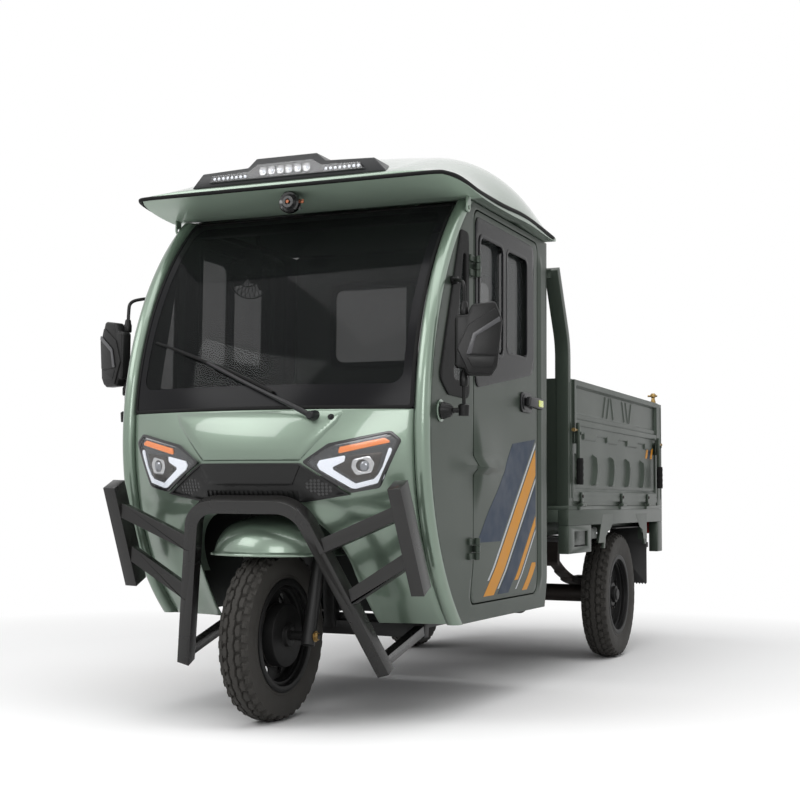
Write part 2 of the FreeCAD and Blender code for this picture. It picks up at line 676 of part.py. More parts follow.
bar_centre = V(*on_axis(d.column_top - 6))
bar_end = [V(s * d.steer_half, bar_centre.y, bar_centre.z) for s in (-1, 1)]
grip_end = [V(s * (d.steer_half + 128), bar_centre.y + 126, bar_centre.z - 36) for s in (-1, 1)]
straight = rod(tuple(bar_end[0]), tuple(bar_end[1]), "steer_rad")
grips = [rod(tuple(a), tuple(b), "grip_rad") for a, b in zip(bar_end, grip_end)]
stem = cut(bar(on_axis(d.column_top - 34), on_axis(d.column_top + 22), V(1, 0, 0), 74, 58),
           rod(on_axis(d.column_top - 60), on_axis(d.column_top - 23.7), "column_rad+seat_gap"))
node("handlebar", fuse(straight, stem, *grips))


# Chassis: low rails under the cab, raised rails under the bed, and the head tube

rails = []
for x in both("rail_half-rail_wide/2", "rail_half+rail_wide/2"):
    rails.append(box(x, ("low_rail_front", "cab_rear+50"), ("low_rail_top-rail_tall", "low_rail_top")))
    rails.append(box(x, ("cab_rear+2", "cab_rear+50"), ("low_rail_top-rail_tall", "rail_top")))
    rails.append(box(x, ("cab_rear+2", "rail_end"), ("rail_top-rail_tall", "rail_top")))
for y, z in (("low_rail_front", "low_rail_top-50"), ("cab_rear+6", "rail_top-50"),
             ("battery_rear+60", "rail_top-50"), ("wheel_base+190", "rail_top-50"),
             ("rail_end-50", "rail_top-50")):
    rails.append(box(("-rail_half", "rail_half"), (y, "%s+40" % y), (z, "%s+40" % z)))
rails.append(box(("-hoop_foot_half-14", "hoop_foot_half+14"), ("low_rail_front-34", "low_rail_front+1"),
                 ("low_rail_top-72", "low_rail_top-30")))
head_low = d.clamp_along + 6
head = rod(on_axis(head_low), on_axis(head_low + d.head_tall), "head_rad")
head_bore = rod(on_axis(head_low - 20), on_axis(head_low + d.head_tall + 20), "column_rad+run_gap")
head_mid = V(*on_axis(head_low + d.head_tall / 2))
elbow = head_mid.y + 22
necks = []
for x in both("16", "52"):
    necks.append(profile("yz", (
        ("%g" % elbow, "%g" % (head_mid.z - 30)), ("low_rail_front-92", "%g" % (head_mid.z - 38)),
        ("low_rail_front-48", "low_rail_top-50"), ("low_rail_front+2", "low_rail_top-50"),
        ("low_rail_front-20", "low_rail_top+20"), ("low_rail_front-56", "%g" % (head_mid.z - 6)),
        ("%g" % elbow, "%g" % (head_mid.z + 8)),
    ), x[0], x[1]))
pins = [cylinder("x", (x, "tip_back", "tip_high"), "tip_rad", "rail_wide+30")
        for x in ("rail_half-rail_wide/2", "-rail_half-rail_wide/2-30")]
node("chassis_frame", cut(fuse(head, *rails, *necks, *pins), head_bore))

# Rear axle with its drive motor, springs, battery

tube = cylinder("x", ("-axle_half", "wheel_base", "rear_tyre_rad"), "axle_tube_rad", "2*axle_half")
case = cylinder("x", ("-70", "wheel_base", "rear_tyre_rad"), "case_rad", "150")
motor = cylinder("x", ("-176", "wheel_base-118", "rear_tyre_rad+18"), "84", "196")
plates = []
for x in ("axle_half-9", "-axle_half+2"):
    plates.append(cylinder("x", (x, "wheel_base", "rear_tyre_rad"), "drum_rad-6", "7"))
node("rear_axle", fuse(tube, round_rims(case, 24), motor, *plates))

springs = []
seat_z = d.rear_tyre_rad + d.axle_tube_rad
for x, side in zip(both("spring_half-spring_wide/2", "spring_half+spring_wide/2"), (1, -1)):
    for k in range(3):
        low = seat_z + d.seat_gap + k * d.leaf_wall
        reach = d.spring_reach * (1 - 0.22 * (2 - k)) if k < 2 else d.spring_reach
        drop = d.spring_drop * (reach / d.spring_reach) ** 2
        back, ahead = d.wheel_base + reach, d.wheel_base - reach
        under = Part.Arc(V(0, ahead, low + drop), V(0, d.wheel_base, low), V(0, back, low + drop)).toShape()
        over = Part.Arc(V(0, ahead, low + drop + d.leaf_wall), V(0, d.wheel_base, low + d.leaf_wall),
                        V(0, back, low + drop + d.leaf_wall)).toShape()
        tips = [Part.LineSegment(V(0, y, low + drop), V(0, y, low + drop + d.leaf_wall)).toShape()
                for y in (ahead, back)]
        leaf = Part.Face(Part.Wire(Part.__sortEdges__([under, over] + tips))).extrude(V(d.spring_wide, 0, 0))
        leaf.translate(V(side * d.spring_half - d.spring_wide / 2, 0, 0))
        springs.append(solid(leaf))
    eye_z = "%g" % (seat_z + d.seat_gap + 3 * d.leaf_wall + d.spring_drop - 8)
    for y in ("wheel_base-spring_reach-8", "wheel_base+spring_reach+8"):
        springs.append(cylinder("x", (x[0], y, eye_z), "17", "spring_wide"))
        springs.append(box(x, ("%s-14" % y, "%s+14" % y), ("%s+6" % eye_z, "rail_top-14")))
        inner = both("rail_half+rail_wide/2+seat_gap", "spring_half")[0 if side > 0 else 1]
        springs.append(box(inner, ("%s-14" % y, "%s+14" % y), ("rail_top-44", "rail_top-14")))
    clamp_z = seat_z + d.seat_gap + 3 * d.leaf_wall
    springs.append(box(x, ("wheel_base-34", "wheel_base+34"),
                       ("%g" % (clamp_z - d.leaf_wall / 2), "%g" % (clamp_z + 12))))
node("leaf_springs", fuse(*springs))

battery = box(("-battery_half", "battery_half"), ("battery_front", "battery_rear"),
              ("battery_low", "battery_top"))
node("battery_box", battery)


# Cab sides: the outline is a block trimmed by the two seam arcs

def seam_block(x, front_less="0"):
    """The cab's side outline as a solid between two places across the vehicle."""
    span = "(%s)-(%s)" % (x[1], x[0])
    rings = []
    for bend, z in (("upper_bend", ("apex_high", "cab_top")), ("lower_bend", ("sill_low", "apex_high"))):
        block = box(x, ("-apex_ahead", "cab_rear"), z)
        round_edge = cylinder("x", (x[0], "%s-apex_ahead" % bend, "apex_high"), bend, span)
        rings.append(common(block, round_edge))
    return fuse(*rings)


def door_outline(x, gap):
    """The door's outline grown by a gap."""
    block = box(x, ("door_front-%s" % gap, "door_rear+%s" % gap), ("door_low-%s" % gap, "door_top+%s" % gap))
    return rounded(block, d.door_bend, V(1, 0, 0))


def pane_outline(x, grow):
    """The door window's outline grown by a step."""
    plate = profile("yz", (
        ("pane_front-%s" % grow, "pane_low-%s" % grow),
        ("pane_rear+%s" % grow, "pane_low+pane_slope-%s" % grow),
        ("pane_rear+%s" % grow, "pane_top+%s" % grow),
        ("pane_front-%s" % grow, "pane_top+%s" % grow),
    ), x[0], x[1])
    return rounded(plate, d.pane_bend, V(1, 0, 0))


def quarter_outline(x, grow):
    """The small three-cornered window ahead of the door."""
    rear = "door_front-quarter_post+%s" % grow
    foot = "%g-%s" % (seam(d.quarter_low) + d.quarter_foot_in, grow)
    head = "%g-%s" % (seam(d.quarter_top) + d.quarter_top_in, grow)
    plate = profile("yz", ((rear, "quarter_low-%s" % grow), (foot, "quarter_low+12-%s" % grow),
                           (head, "quarter_top+%s*2" % grow), (rear, "quarter_top+%s*2" % grow)), x[0], x[1])
    return rounded(plate, 14, V(1, 0, 0))


wall = ("cab_half-cab_wall", "cab_half")
through = ("cab_half-cab_wall-9", "cab_half+9")
side_panel = cut(seam_block(wall), door_outline(through, "door_gap"), quarter_outline(through, "0"))
hinge_x, hinge_y = "cab_half+hinge_rad+4", "door_front-door_gap/2"
frame_hinges = []
door_hinges = []
for low in ("hinge_low", "hinge_high"):
    for part, share in ((frame_hinges, ("0", "hinge_tall/3")), (door_hinges, ("hinge_tall/3+seat_gap",
                        "hinge_tall*2/3-seat_gap")), (frame_hinges, ("hinge_tall*2/3", "hinge_tall"))):
        z = ("%s+%s" % (low, share[0]), "%s+%s" % (low, share[1]))
        part.append(cylinder("z", (hinge_x, hinge_y, z[0]), "hinge_rad", "(%s)-(%s)" % (z[1], z[0])))
        leaf_y = (hinge_y, hinge_y + "+hinge_reach")
        if part is frame_hinges:
            leaf_y = (hinge_y + "-hinge_reach", hinge_y)
        part.append(box(("cab_half", "cab_half+hinge_leaf+4"), leaf_y, z))
side_left = fuse(side_panel, *frame_hinges)
node("side_left", side_left)
node("side_right", mirrored(side_left))

# Doors: a pressed skin with a raised lower field, the glass in a black frame, and a handle

skin = cut(door_outline(wall, "0"), pane_outline(through, "0"))
field = rounded(profile("yz", (
    ("door_front+30", "door_low+34"), ("door_rear-24", "door_low+34"), ("door_rear-24", "door_low+395"),
    ("door_front+62", "door_low+420"), ("door_front+30", "door_low+560"),
), "cab_half-1", "cab_half+5"), 16, V(1, 0, 0), lambda p: p.y > d.door_front + 40)
door_skin = fuse(skin, field, *door_hinges)
frame_ring = cut(pane_outline(("cab_half+seat_gap", "cab_half+4"), "pane_lap*4"),
                 pane_outline(("cab_half-9", "cab_half+9"), "0"))
hinge_notch = box(through, ("0", "%s+hinge_reach+1" % hinge_y), ("hinge_high-1", "hinge_high+hinge_tall+1"))
frame_ring = cut(frame_ring, hinge_notch)
pane = pane_outline(("cab_half-20", "cab_half-20+glass_wall"), "-seat_gap")
divider = box(("cab_half-20+glass_wall", "cab_half+2"), ("pane_front+232", "pane_front+256"),
              ("pane_low+40", "pane_top-seat_gap"))
handle_base = box(("cab_half+seat_gap", "cab_half+9"), ("door_rear-178", "door_rear-20"),
                  ("handle_low", "handle_low+handle_tall"))
handle_grip = box(("cab_half+8", "cab_half+34"), ("door_rear-160", "door_rear-34"),
                  ("handle_low+12", "handle_low+handle_tall-10"))
handle = fuse(rounded(handle_base, 12, V(1, 0, 0)), rounded(handle_grip, 10, V(0, 0, 1)))
for side in ("left", "right"):
    placed = (lambda part: part) if side == "left" else mirrored
    node("door_" + side, placed(door_skin))
    node("door_glass_" + side, placed(pane), placed(frame_ring), placed(divider))
    node("door_handle_" + side, placed(handle))

# Front pillars sweep along both seam arcs

def pillar_half(bend, turn, centre_y):
    """A rounded strip turned about the centre of one seam arc."""
    inner = d.cab_half - d.pillar_wide + d.seat_gap
    outer = d.cab_half
    near, far = bend + 1.5, bend + d.pillar_deep
    corners = [(inner, near), (outer, near), (outer, near + 8), (outer - 6, far - 6), (outer - 18, far),
               (inner + 12, far), (inner + 3, far - 5), (inner, far - 12)]
    points = [V(x, centre_y - reach, d.apex_high) for x, reach in corners]
    face = Part.Face(Part.makePolygon(points + [points[0]]))
    return face.revolve(V(0, centre_y, d.apex_high), V(1, 0, 0), turn)


up_turn = math.degrees(math.asin((d.cab_top - d.apex_high) / (d.upper_bend + d.pillar_deep)))
down_turn = math.degrees(math.asin((d.apex_high - d.sill_low) / (d.lower_bend + 1.5)))
pillar = solid(pillar_half(d.upper_bend, -up_turn, d.upper_bend - d.apex_ahead).fuse(
    pillar_half(d.lower_bend, down_turn, d.lower_bend - d.apex_ahead)).removeSplitter())
node("front_pillars", pillar, mirrored(pillar))

# Nose skin with its wheel arch, the hood panel on it, lamps and grille

def facing_plate(corners, inset=0.0):
    """A polygon of (across, up) corners, moved in from its edge, carried through the nose."""
    points = [V(x, -nose_reach, z) for x, z in corners]
    face = Part.Face(Part.makePolygon(points + points[:1]))
    if inset:
        face = face.makeOffset2D(-inset)
    return solid(face.extrude(V(0, 1.5 * nose_reach, 0)))


nose_reach = 400
arch_rise = d.arch_high - d.arch_bend_high
# Share of the half width, share of the rise, for the left half of the arch over its straight legs
arch_left = [V(share * d.arch_half, -nose_reach, d.arch_bend_high + rise * arch_rise)
             for share, rise in ((1.0, 0.0), (0.92, 0.46), (0.64, 0.84), (0.0, 1.0))]
arch_right = [V(-p.x, p.y, p.z) for p in arch_left]
arch_foot = V(d.arch_flare, -nose_reach, d.sill_low - 9)
arch_edges = [
    Part.LineSegment(arch_foot, arch_left[0]),
    Part.Arc(*arch_left[:3]),
    Part.Arc(arch_left[2], arch_left[3], arch_right[2]),
    Part.Arc(arch_right[2], arch_right[1], arch_right[0]),
    Part.LineSegment(arch_right[0], V(-arch_foot.x, arch_foot.y, arch_foot.z)),
    Part.LineSegment(V(-arch_foot.x, arch_foot.y, arch_foot.z), arch_foot),
]
arch_wire = Part.Wire([edge.toShape() for edge in arch_edges])
arch_tool = solid(Part.Face(arch_wire).extrude(V(0, 2 * nose_reach, 0)))
node("nose_panel", cut(nose_band(0, d.nose_wall), arch_tool))

hood_corners = [(d.hood_half, d.cowl_high - d.hood_less), (d.hood_half - 15, d.cowl_high - d.hood_less - 33),
                (d.hood_foot_half, d.hood_low)]
hood_corners += [(-x, z) for x, z in reversed(hood_corners)]
node("hood_panel", common(nose_band(-d.hood_proud, -d.seat_gap), facing_plate(hood_corners)))

# Corners of the headlamp, its light strip and its turn signal: across, up
LAMP_CORNERS = [(440, 818), (412, 843), (245, 806), (170, 753), (303, 667), (380, 682)]
STRIP_CORNERS = [(294, 772), (216, 752), (222, 733), (312, 680), (388, 700), (414, 794), (404, 790),
                 (372, 712), (317, 694), (258, 736), (288, 757)]
SIGNAL_CORNERS = [(281, 797), (272, 779), (414, 809), (400, 820)]
rim_band = nose_band(-d.lamp_proud, -d.seat_gap)
back_band = nose_band(-d.lamp_back, -d.seat_gap)
part_band = nose_band(d.lamp_inset - d.lamp_proud, -d.lamp_back + 1)
lamp_ring = cut(common(rim_band, facing_plate(LAMP_CORNERS)), facing_plate(LAMP_CORNERS, d.lamp_rim))
lamp_back = common(back_band, facing_plate(LAMP_CORNERS))
lamp_lights = [common(part_band, facing_plate(corners)) for corners in (STRIP_CORNERS, SIGNAL_CORNERS)]
beam_tool = cylinder("y", ("beam_out", "-%g" % nose_reach, "beam_high"), "beam_rad", "%g" % nose_reach)
beam = common(part_band, beam_tool)
lamp = fuse(lamp_back, lamp_ring, beam, *lamp_lights)
node("headlamps", lamp, mirrored(lamp))

# Grille: a rimmed plate with a plain bar, a row of ribs, and a honeycomb patch at either end
GRILLE_CORNERS = [(162, 750), (299, 662), (172, 640), (-172, 640), (-299, 662), (-162, 750)]
grille_ring = cut(common(rim_band, facing_plate(GRILLE_CORNERS)), facing_plate(GRILLE_CORNERS, d.grille_rim))
plain_bar = [(d.bar_half, d.bar_low), (d.bar_half + 28, 748), (-d.bar_half - 28, 748),
             (-d.bar_half, d.bar_low)]
rib_tools = []
for k in range(20):
    corner = V(d.rib_span * (k / 19 - 0.5) - d.rib_wide / 2, -nose_reach, d.rib_low)
    rib_tools.append(Part.makeBox(d.rib_wide, nose_reach, d.rib_top - d.rib_low, corner))
ribs = common(part_band, solid(Part.makeCompound(rib_tools)))
holes = []
comb_rad = (d.comb_pitch - d.comb_web) / math.sqrt(3)
rows = math.floor(d.comb_tall / (0.866 * d.comb_pitch))
for row in range(-rows, rows + 1):
    up = row * 0.866 * d.comb_pitch
    reach = d.comb_half * (1 - abs(up) / (1.3 * d.comb_tall))
    for k in range(-5, 6):
        across = (k + 0.5 * (row % 2)) * d.comb_pitch
        if abs(across) > reach:
            continue
        for sign in (1, -1):
            centre = V(sign * (d.comb_out + across - 0.5 * up), -nose_reach, d.comb_high + up)
            corners = []
            for turn in range(0, 420, 60):
                spoke = V(math.sin(math.radians(turn)), 0, math.cos(math.radians(turn)))
                corners.append(centre + spoke * comb_rad)
            face = Part.Face(Part.makePolygon(corners))
            holes.append(face.extrude(V(0, nose_reach, 0)))
combs = solid(Part.makeCompound(holes))
grille_plate = cut(common(back_band, facing_plate(GRILLE_CORNERS)), combs)
node("grille", fuse(grille_plate, grille_ring, common(part_band, facing_plate(plain_bar)), ribs))

node("windshield", glass_band(2, 2 + d.glass_wall))
header_y = ("%g+header_in" % seam(glass_top), "%g+header_in+header_deep" % seam(glass_top))
node("screen_header", box(("-inner_half", "inner_half"), header_y, ("cab_top-44", "roof_low-seat_gap")))

# Side and rear windows that do not open

quarter = quarter_outline(("cab_half-22", "cab_half-22+glass_wall"), "-0.8")
rear_pane = box(("-rear_pane_half+seat_gap", "rear_pane_half-seat_gap"),
                ("cab_rear-20", "cab_rear-20+glass_wall"),
                ("rear_pane_low+seat_gap", "rear_pane_top-seat_gap"))
node("fixed_glass", quarter, mirrored(quarter), rounded(rear_pane, d.pane_bend, V(0, 1, 0)))

rear_face = box(("-inner_half", "inner_half"), ("cab_rear-30", "cab_rear"),
                ("floor_low+floor_wall", "roof_low-seat_gap"))
rear_hole = rounded(box(("-rear_pane_half", "rear_pane_half"), ("cab_rear-60", "cab_rear+30"),
                        ("rear_pane_low", "rear_pane_top")), d.pane_bend, V(0, 1, 0))
post = box(("-18", "18"), ("cab_rear-12", "cab_rear"), ("rear_pane_low-2", "rear_pane_top+2"))
node("rear_wall", fuse(cut(rear_face, rear_hole), post))

# Cab floor with the bulkhead over the front wheel

floor = box(("-inner_half", "inner_half"), ("wall_rear_of_wheel", "cab_rear"),
            ("floor_low", "floor_low+floor_wall"))
bulkhead = profile("yz", (
    ("wall_rear_of_wheel", "floor_low"), ("wall_rear_of_wheel+18", "floor_low"),
    ("wall_rear_of_wheel-22", "shelf_top"), ("dash_front-6", "shelf_top"),
    ("dash_front-6", "shelf_top-shelf_wall"),
    ("wall_rear_of_wheel-38", "shelf_top-shelf_wall"),
), "-inner_half", "inner_half")
column_hole = rod(on_axis(360), on_axis(620), "head_rad+14")
seat_block = box(("-seat_half-10", "seat_half+10"), ("seat_front+10", "seat_rear"),
                 ("floor_low+floor_wall", "seat_low"))
seat_hollow = box(("-seat_half+8", "seat_half-8"), ("seat_front+28", "seat_rear-18"),
                  ("floor_low+floor_wall-9", "seat_low-18"))
seat_box = cut(seat_block, seat_hollow)
node("cab_floor", cut(fuse(floor, bulkhead), column_hole), seat_box)

seat_x = ("-seat_half", "seat_half")
cushion = rounded(box(seat_x, ("seat_front", "seat_rear"), ("seat_low+seat_gap", "seat_top")), 26, V(1, 0, 0))
backrest = box(seat_x, ("seat_rear-12", "cab_rear-30-seat_gap"), ("seat_top+2*seat_gap", "backrest_top"))
backrest = rounded(backrest, 22, V(1, 0, 0))
node("driver_seat", cushion, backrest)

dash_x = ("-inner_half+dash_side", "inner_half-dash_side")
dash_body = profile("yz", (
    ("dash_front", "shelf_top+seat_gap"), ("dash_front+58", "shelf_top+seat_gap"),
    ("dash_front+98", "cowl_high-30"), ("dash_front+82", "cowl_high-4"), ("dash_front", "cowl_high-10"),
), dash_x[0], dash_x[1])
binnacle = profile("yz", (("dash_front+10", "cowl_high-12"), ("dash_front+78", "cowl_high-12"),
                          ("dash_front+62", "cowl_high+62"), ("dash_front+28", "cowl_high+70")), "-110", "110")
node("dashboard", fuse(dash_body, binnacle))

# Roof: a moulded dome whose front edge runs out as a visor

# Share of the roof's length, underside above the drip edge, share of the dome's height, half width less
ROOF_SECTIONS = ((0.0, 26, 0.19, 50), (0.1, 15, 0.38, 8), (0.25, 0, 0.64, 0), (0.56, 0, 1.0, 0),
                 (0.81, 0, 0.9, 0), (1.0, 0, 0.36, 4))


def roof_ring(y, low, top, half, lip):
    """One section across the roof: flat underside, upright lip, two shoulders and the top."""
    base = low + lip
    tall = top - base
    right = [V(half, y, base), V(half * 0.87, y, base + 0.57 * tall), V(half * 0.6, y, base + 0.92 * tall)]
    left = [V(-p.x, p.y, p.z) for p in right]
    edges = [
        Part.LineSegment(V(-half, y, low), V(half, y, low)),
        Part.LineSegment(V(half, y, low), right[0]),
        Part.Arc(*right),
        Part.Arc(right[2], V(0, y, top), left[2]),
        Part.Arc(left[2], left[1], left[0]),
        Part.LineSegment(left[0], V(-half, y, low)),
    ]
    return Part.Wire([edge.toShape() for edge in edges])


rings = []
hollows = []
for share, lift, dome, less in ROOF_SECTIONS:
    y = d.roof_front + share * (d.roof_rear - d.roof_front)
    low = d.roof_low + lift
    top = d.roof_low + dome * (d.roof_top - d.roof_low)
    lip = min(d.roof_lip, (top - low) * 0.4)
    rings.append(roof_ring(y, low, top, d.roof_half - less, lip))
for share, dome in ((0.3, 0.7), (0.56, 1.0), (0.81, 0.9), (0.955, 0.5)):
    y = d.roof_front + share * (d.roof_rear - d.roof_front)
    top = d.roof_low + dome * (d.roof_top - d.roof_low) - d.roof_wall
    hollows.append(roof_ring(y, d.roof_low - 9, top, d.cab_half - d.cab_wall - 6, d.roof_lip))
below = box(("-2*roof_half", "2*roof_half"), ("-roof_rear", "2*roof_rear"), ("roof_low-200", "roof_low"))
shell = cut(solid(Part.makeLoft(rings, True, False)), solid(Part.makeLoft(hollows, True, False)), below)
eye_y, eye_z = "eye_back", "cab_top-eye_drop"
eye_x = ("cab_half+seat_gap", "cab_half+seat_gap+eye_wall")
eye = cut(fuse(cylinder("x", (eye_x[0], eye_y, eye_z), "eye_rad", "eye_wall"),
               box(eye_x, ("%s-eye_rad" % eye_y, "%s+eye_rad" % eye_y), (eye_z, "roof_low+2"))),
          cylinder("x", ("cab_half-9", eye_y, eye_z), "eye_bore_rad", "eye_wall*5"))
node("roof", fuse(shell, eye, mirrored(eye)))



def lamp_bar(less, front, back):
    """The roof lamp's stepped outline, moved in from its rim, between two places."""
    right = (
        ("roof_lamp_half-%s*4" % less, "roof_low+roof_lamp_low+%s" % less),
        ("roof_lamp_half-roof_lamp_lean-%s*2.6" % less, "roof_low+roof_lamp_wing-%s" % less),
        ("roof_lamp_step-%s*0.8" % less, "roof_low+roof_lamp_wing+6-%s" % less),
        ("roof_lamp_step-30-%s*0.8" % less, "roof_low+roof_lamp_top-%s" % less),
    )
    return profile("xz", right + tuple(("-(%s)" % x, z) for x, z in reversed(right)), front, back)


roof_lamp_face = "roof_front+roof_lamp_back"
lamp_housing = lamp_bar("0", roof_lamp_face, roof_lamp_face + "+roof_lamp_deep")
lens = lamp_bar("roof_lamp_rim", roof_lamp_face + "-roof_lens_wall", roof_lamp_face + "-seat_gap/2")
roof_body = solid(Part.makeLoft(rings, True, False))
node("roof_lamp", cut(lamp_housing, roof_body), lens)

horn_z = "roof_low-horn_drop"
horn = fuse(cylinder("y", ("0", "horn_front", horn_z), "horn_rad", "horn_deep"),
            cylinder("y", ("0", "horn_front-12", horn_z), "horn_rad-14", "13"),
            box(("-12", "12"), ("horn_front+20", "horn_front+42"), (horn_z, "roof_low+8")))
node("horn", cut(horn, roof_body))

# Wiper, mirrors and fan

pivot_y = seam(d.wiper_high) - 80
pivot = (d.wiper_out, pivot_y, d.wiper_high)
# Points of the blade on the glass: across, up, glass ahead of the seam
BLADE = ((60, 955, 88), (-60, 1010, 78), (-180, 1053, 64), (-300, 1094, 44), (-413, 1130, 22))
blade = [(x, seam(z) - ahead - d.wiper_lift, z) for x, z, ahead in BLADE]
arm_tip = (blade[2][0], blade[2][1] - 13, blade[2][2])
wiper_rods = [rod(a, b, "wiper_blade_rad") for a, b in zip(blade, blade[1:])]
wiper_rods.append(rod(blade[2], arm_tip, "wiper_arm_rad"))
wiper_rods.append(rod((pivot[0], pivot_y - 52, pivot[2]), arm_tip, "wiper_arm_rad"))
wiper_rods.append(rod(pivot, (pivot[0], pivot_y - 58, pivot[2]), "2*wiper_arm_rad+1"))
hood_face = nose_band(-d.hood_proud - d.seat_gap, d.nose_wall)
node("wiper", cut(fuse(*wiper_rods), hood_face))

# Corners of the mirror head and of the field on its back: shares of its width and height
HEAD_CORNERS = ((0.04, 0.13), (0.26, 0.1), (0.36, 0.0), (0.8, 0.0), (0.93, 0.2), (1.0, 0.72), (0.93, 0.86),
                (0.8, 1.0), (0.36, 0.97), (0.22, 0.8), (0.04, 0.8))
FIELD_CORNERS = ((0.28, 0.28), (0.88, 0.28), (0.96, 0.7), (0.9, 0.77), (0.44, 0.57))


def head_plate(corners, front, back):
    """A plate with corners placed by shares of the mirror head."""
    places = []
    for across, up in corners:
        places.append(("mirror_out+%g*mirror_half_wide" % (2 * across - 1),
                       "mirror_low+%g*(mirror_top-mirror_low)" % up))
    return profile("xz", places, front, back)


head = fuse(head_plate(HEAD_CORNERS, "mirror_front", "mirror_front+mirror_deep"),
            head_plate(FIELD_CORNERS, "mirror_front-mirror_boss", "mirror_front+1"))
stem_x, stem_y = d.mirror_out - d.mirror_stem_in, d.mirror_front + 20
stem_top = (stem_x, stem_y + 6, d.mirror_arm_high)
stem_foot = (stem_x, stem_y, d.mirror_arm_low)
mirror_arm = fuse(
    head,
    rod((d.cab_half + 18, stem_y + 8, d.mirror_root_high), stem_top, "mirror_rod"),
    rod(stem_top, stem_foot, "mirror_rod"),
    rod((stem_x - 2, stem_y, d.mirror_arm_low + 1), (d.cab_half + 6, stem_y - 48, d.mirror_arm_low + 1),
        "mirror_rod"),
    rod((stem_x, stem_y + 3, d.mirror_stud), (stem_x + 32, stem_y - 2, d.mirror_stud), "mirror_rod+3"),
    box(("cab_half+seat_gap", "cab_half+24"), ("mirror_front+14", "mirror_front+42"),
        ("mirror_root_high-16", "mirror_root_high+16")),
    box(("cab_half+seat_gap", "cab_half+16"), ("mirror_front-42", "mirror_front-14"),
        ("mirror_arm_low-14", "mirror_arm_low+16")),
)
node("mirrors", mirror_arm, mirrored(mirror_arm))

fan_y = "%s-fan_ahead" % header_y[1]
cage = cylinder("y", ("-fan_out", fan_y, "fan_high"), "fan_rad", "fan_deep")
fan_motor = cylinder("y", ("-fan_out", "%s+fan_deep" % fan_y, "fan_high"), "40", "70")
fan_stem = box(("-fan_out-14", "-fan_out+14"), ("%s+seat_gap" % header_y[1], "%s+fan_deep+32" % fan_y),
               ("fan_high+35", "cab_top-10"))
node("cab_fan", fuse(round_rims(cage, 14), fan_motor, fan_stem))


# Bull bar: a raked hoop, two end posts, rails between them, braces back to the chassis

foot = V(d.hoop_foot_half, d.hoop_foot_behind, d.hoop_foot)
top = V(d.hoop_top_half, -d.hoop_top_ahead, d.hoop_top)
lean = V(0, top.y - foot.y, top.z - foot.z).normalize()
facing = V(1, 0, 0).cross(lean)
hoop_line = [foot, top, V(-top.x, top.y, top.z), V(-foot.x, foot.y, foot.z)]
hoop = bent_tube(hoop_line, facing, d.hoop_tube, d.hoop_tube, d.hoop_bend)
guard = [hoop]
post_top = V(d.guard_half, 18 - d.hoop_top_ahead, d.guard_top)
post_foot = V(d.guard_foot_half, -12, d.guard_foot)
for sign in (1, -1):
    def at(point):
        return (sign * point.x, point.y, point.z)
    guard.append(bar(at(post_foot), at(post_top), V(1, 0, 0), d.hoop_tube, d.post_bar_deep))
    for hoop_share, post_share in ((0.75, 0.76), (0.44, 0.33)):
        inner = foot + (top - foot) * hoop_share
        outer = post_foot + (post_top - post_foot) * post_share
        guard.append(bar(at(inner), at(outer), V(0, 0, 1), d.hoop_tube, d.hoop_tube - 8))
    brace_front = foot + (top - foot) * 0.06
    guard.append(bar(at(brace_front), (sign * d.hoop_foot_half, d.low_rail_front - 38.6, d.low_rail_top - 50),
                     V(1, 0, 0), 30, 30))
node("bull_bar", fuse(*guard))

# Mud flaps hang from the chassis behind the rear wheels

flap_y = "wheel_base+rear_tyre_rad+98"
hanger = box(("rail_half+rail_wide/2+seat_gap", "bed_half-8"), ("%s+4" % flap_y, "%s+26" % flap_y),
             ("rail_top-52", "rail_top-30"))
flap_line = [("bed_half-10", "rail_top-30"), ("flap_in", "rail_top-30")]
for k in range(2 * int(d.flap_teeth) + 1):
    lift = "flap_low" if k % 2 else "flap_low+flap_tooth"
    flap_line.append(("flap_in+%g*(bed_half-10-flap_in)/flap_teeth" % (k / 2), lift))
flap = profile("xz", flap_line, flap_y, "%s+4" % flap_y)
wing = fuse(hanger, flap)
node("mud_flaps", wing, mirrored(wing))


# Bed: floor on its frame, corner posts, headboard and rack

floor_edge = box(("-bed_half", "bed_half"), ("bed_front", "bed_rear"), ("plate_low", "bed_floor_top-load_step"))
load_plate = box(("-bed_half+post_wide+2", "bed_half-post_wide-2"), ("bed_front+32", "bed_rear-gate_wall-2"),
                 ("plate_low", "bed_floor_top"))
floor_parts = [floor_edge, load_plate]
bearer_low = "plate_low-seat_gap-bearer_deep"
bearers = []
for x in both("bed_half-beam_wide", "bed_half"):
    bearers.append(box(x, ("bed_front", "bed_rear"), ("bed_low", "plate_low-seat_gap")))
for k in range(6):
    y = "bed_front+%g*(bed_rear-bed_front-bearer_wide)" % (k / 5)
    bearers.append(box(("-bed_half+beam_wide+seat_gap", "bed_half-beam_wide-seat_gap"),
                       (y, "%s+bearer_wide" % y), (bearer_low, "plate_low-seat_gap")))
for x in both("rail_half-rail_wide/2", "rail_half+rail_wide/2"):
    bearers.append(box(x, ("bed_front+20", "tip_back-44"), ("rail_top+10", "%s-seat_gap" % bearer_low)))
for x in both("rail_half+rail_wide/2+5", "rail_half+rail_wide/2+17"):
    lug = box(x, ("tip_back-30", "tip_back+30"), ("tip_high-24", "plate_low-seat_gap"))
    bearers.append(cut(lug, cylinder("x", ("%s-5" % x[0], "tip_back", "tip_high"), "tip_rad+run_gap", "30")))
node("bed_bearers", *bearers)
gate_axis_x, gate_axis_z = "bed_half+gate_hinge_rad+3", "bed_floor_top+2"
gate_low = "bed_floor_top+gate_gap+4"
bed_knuckles, gate_knuckles = [], []
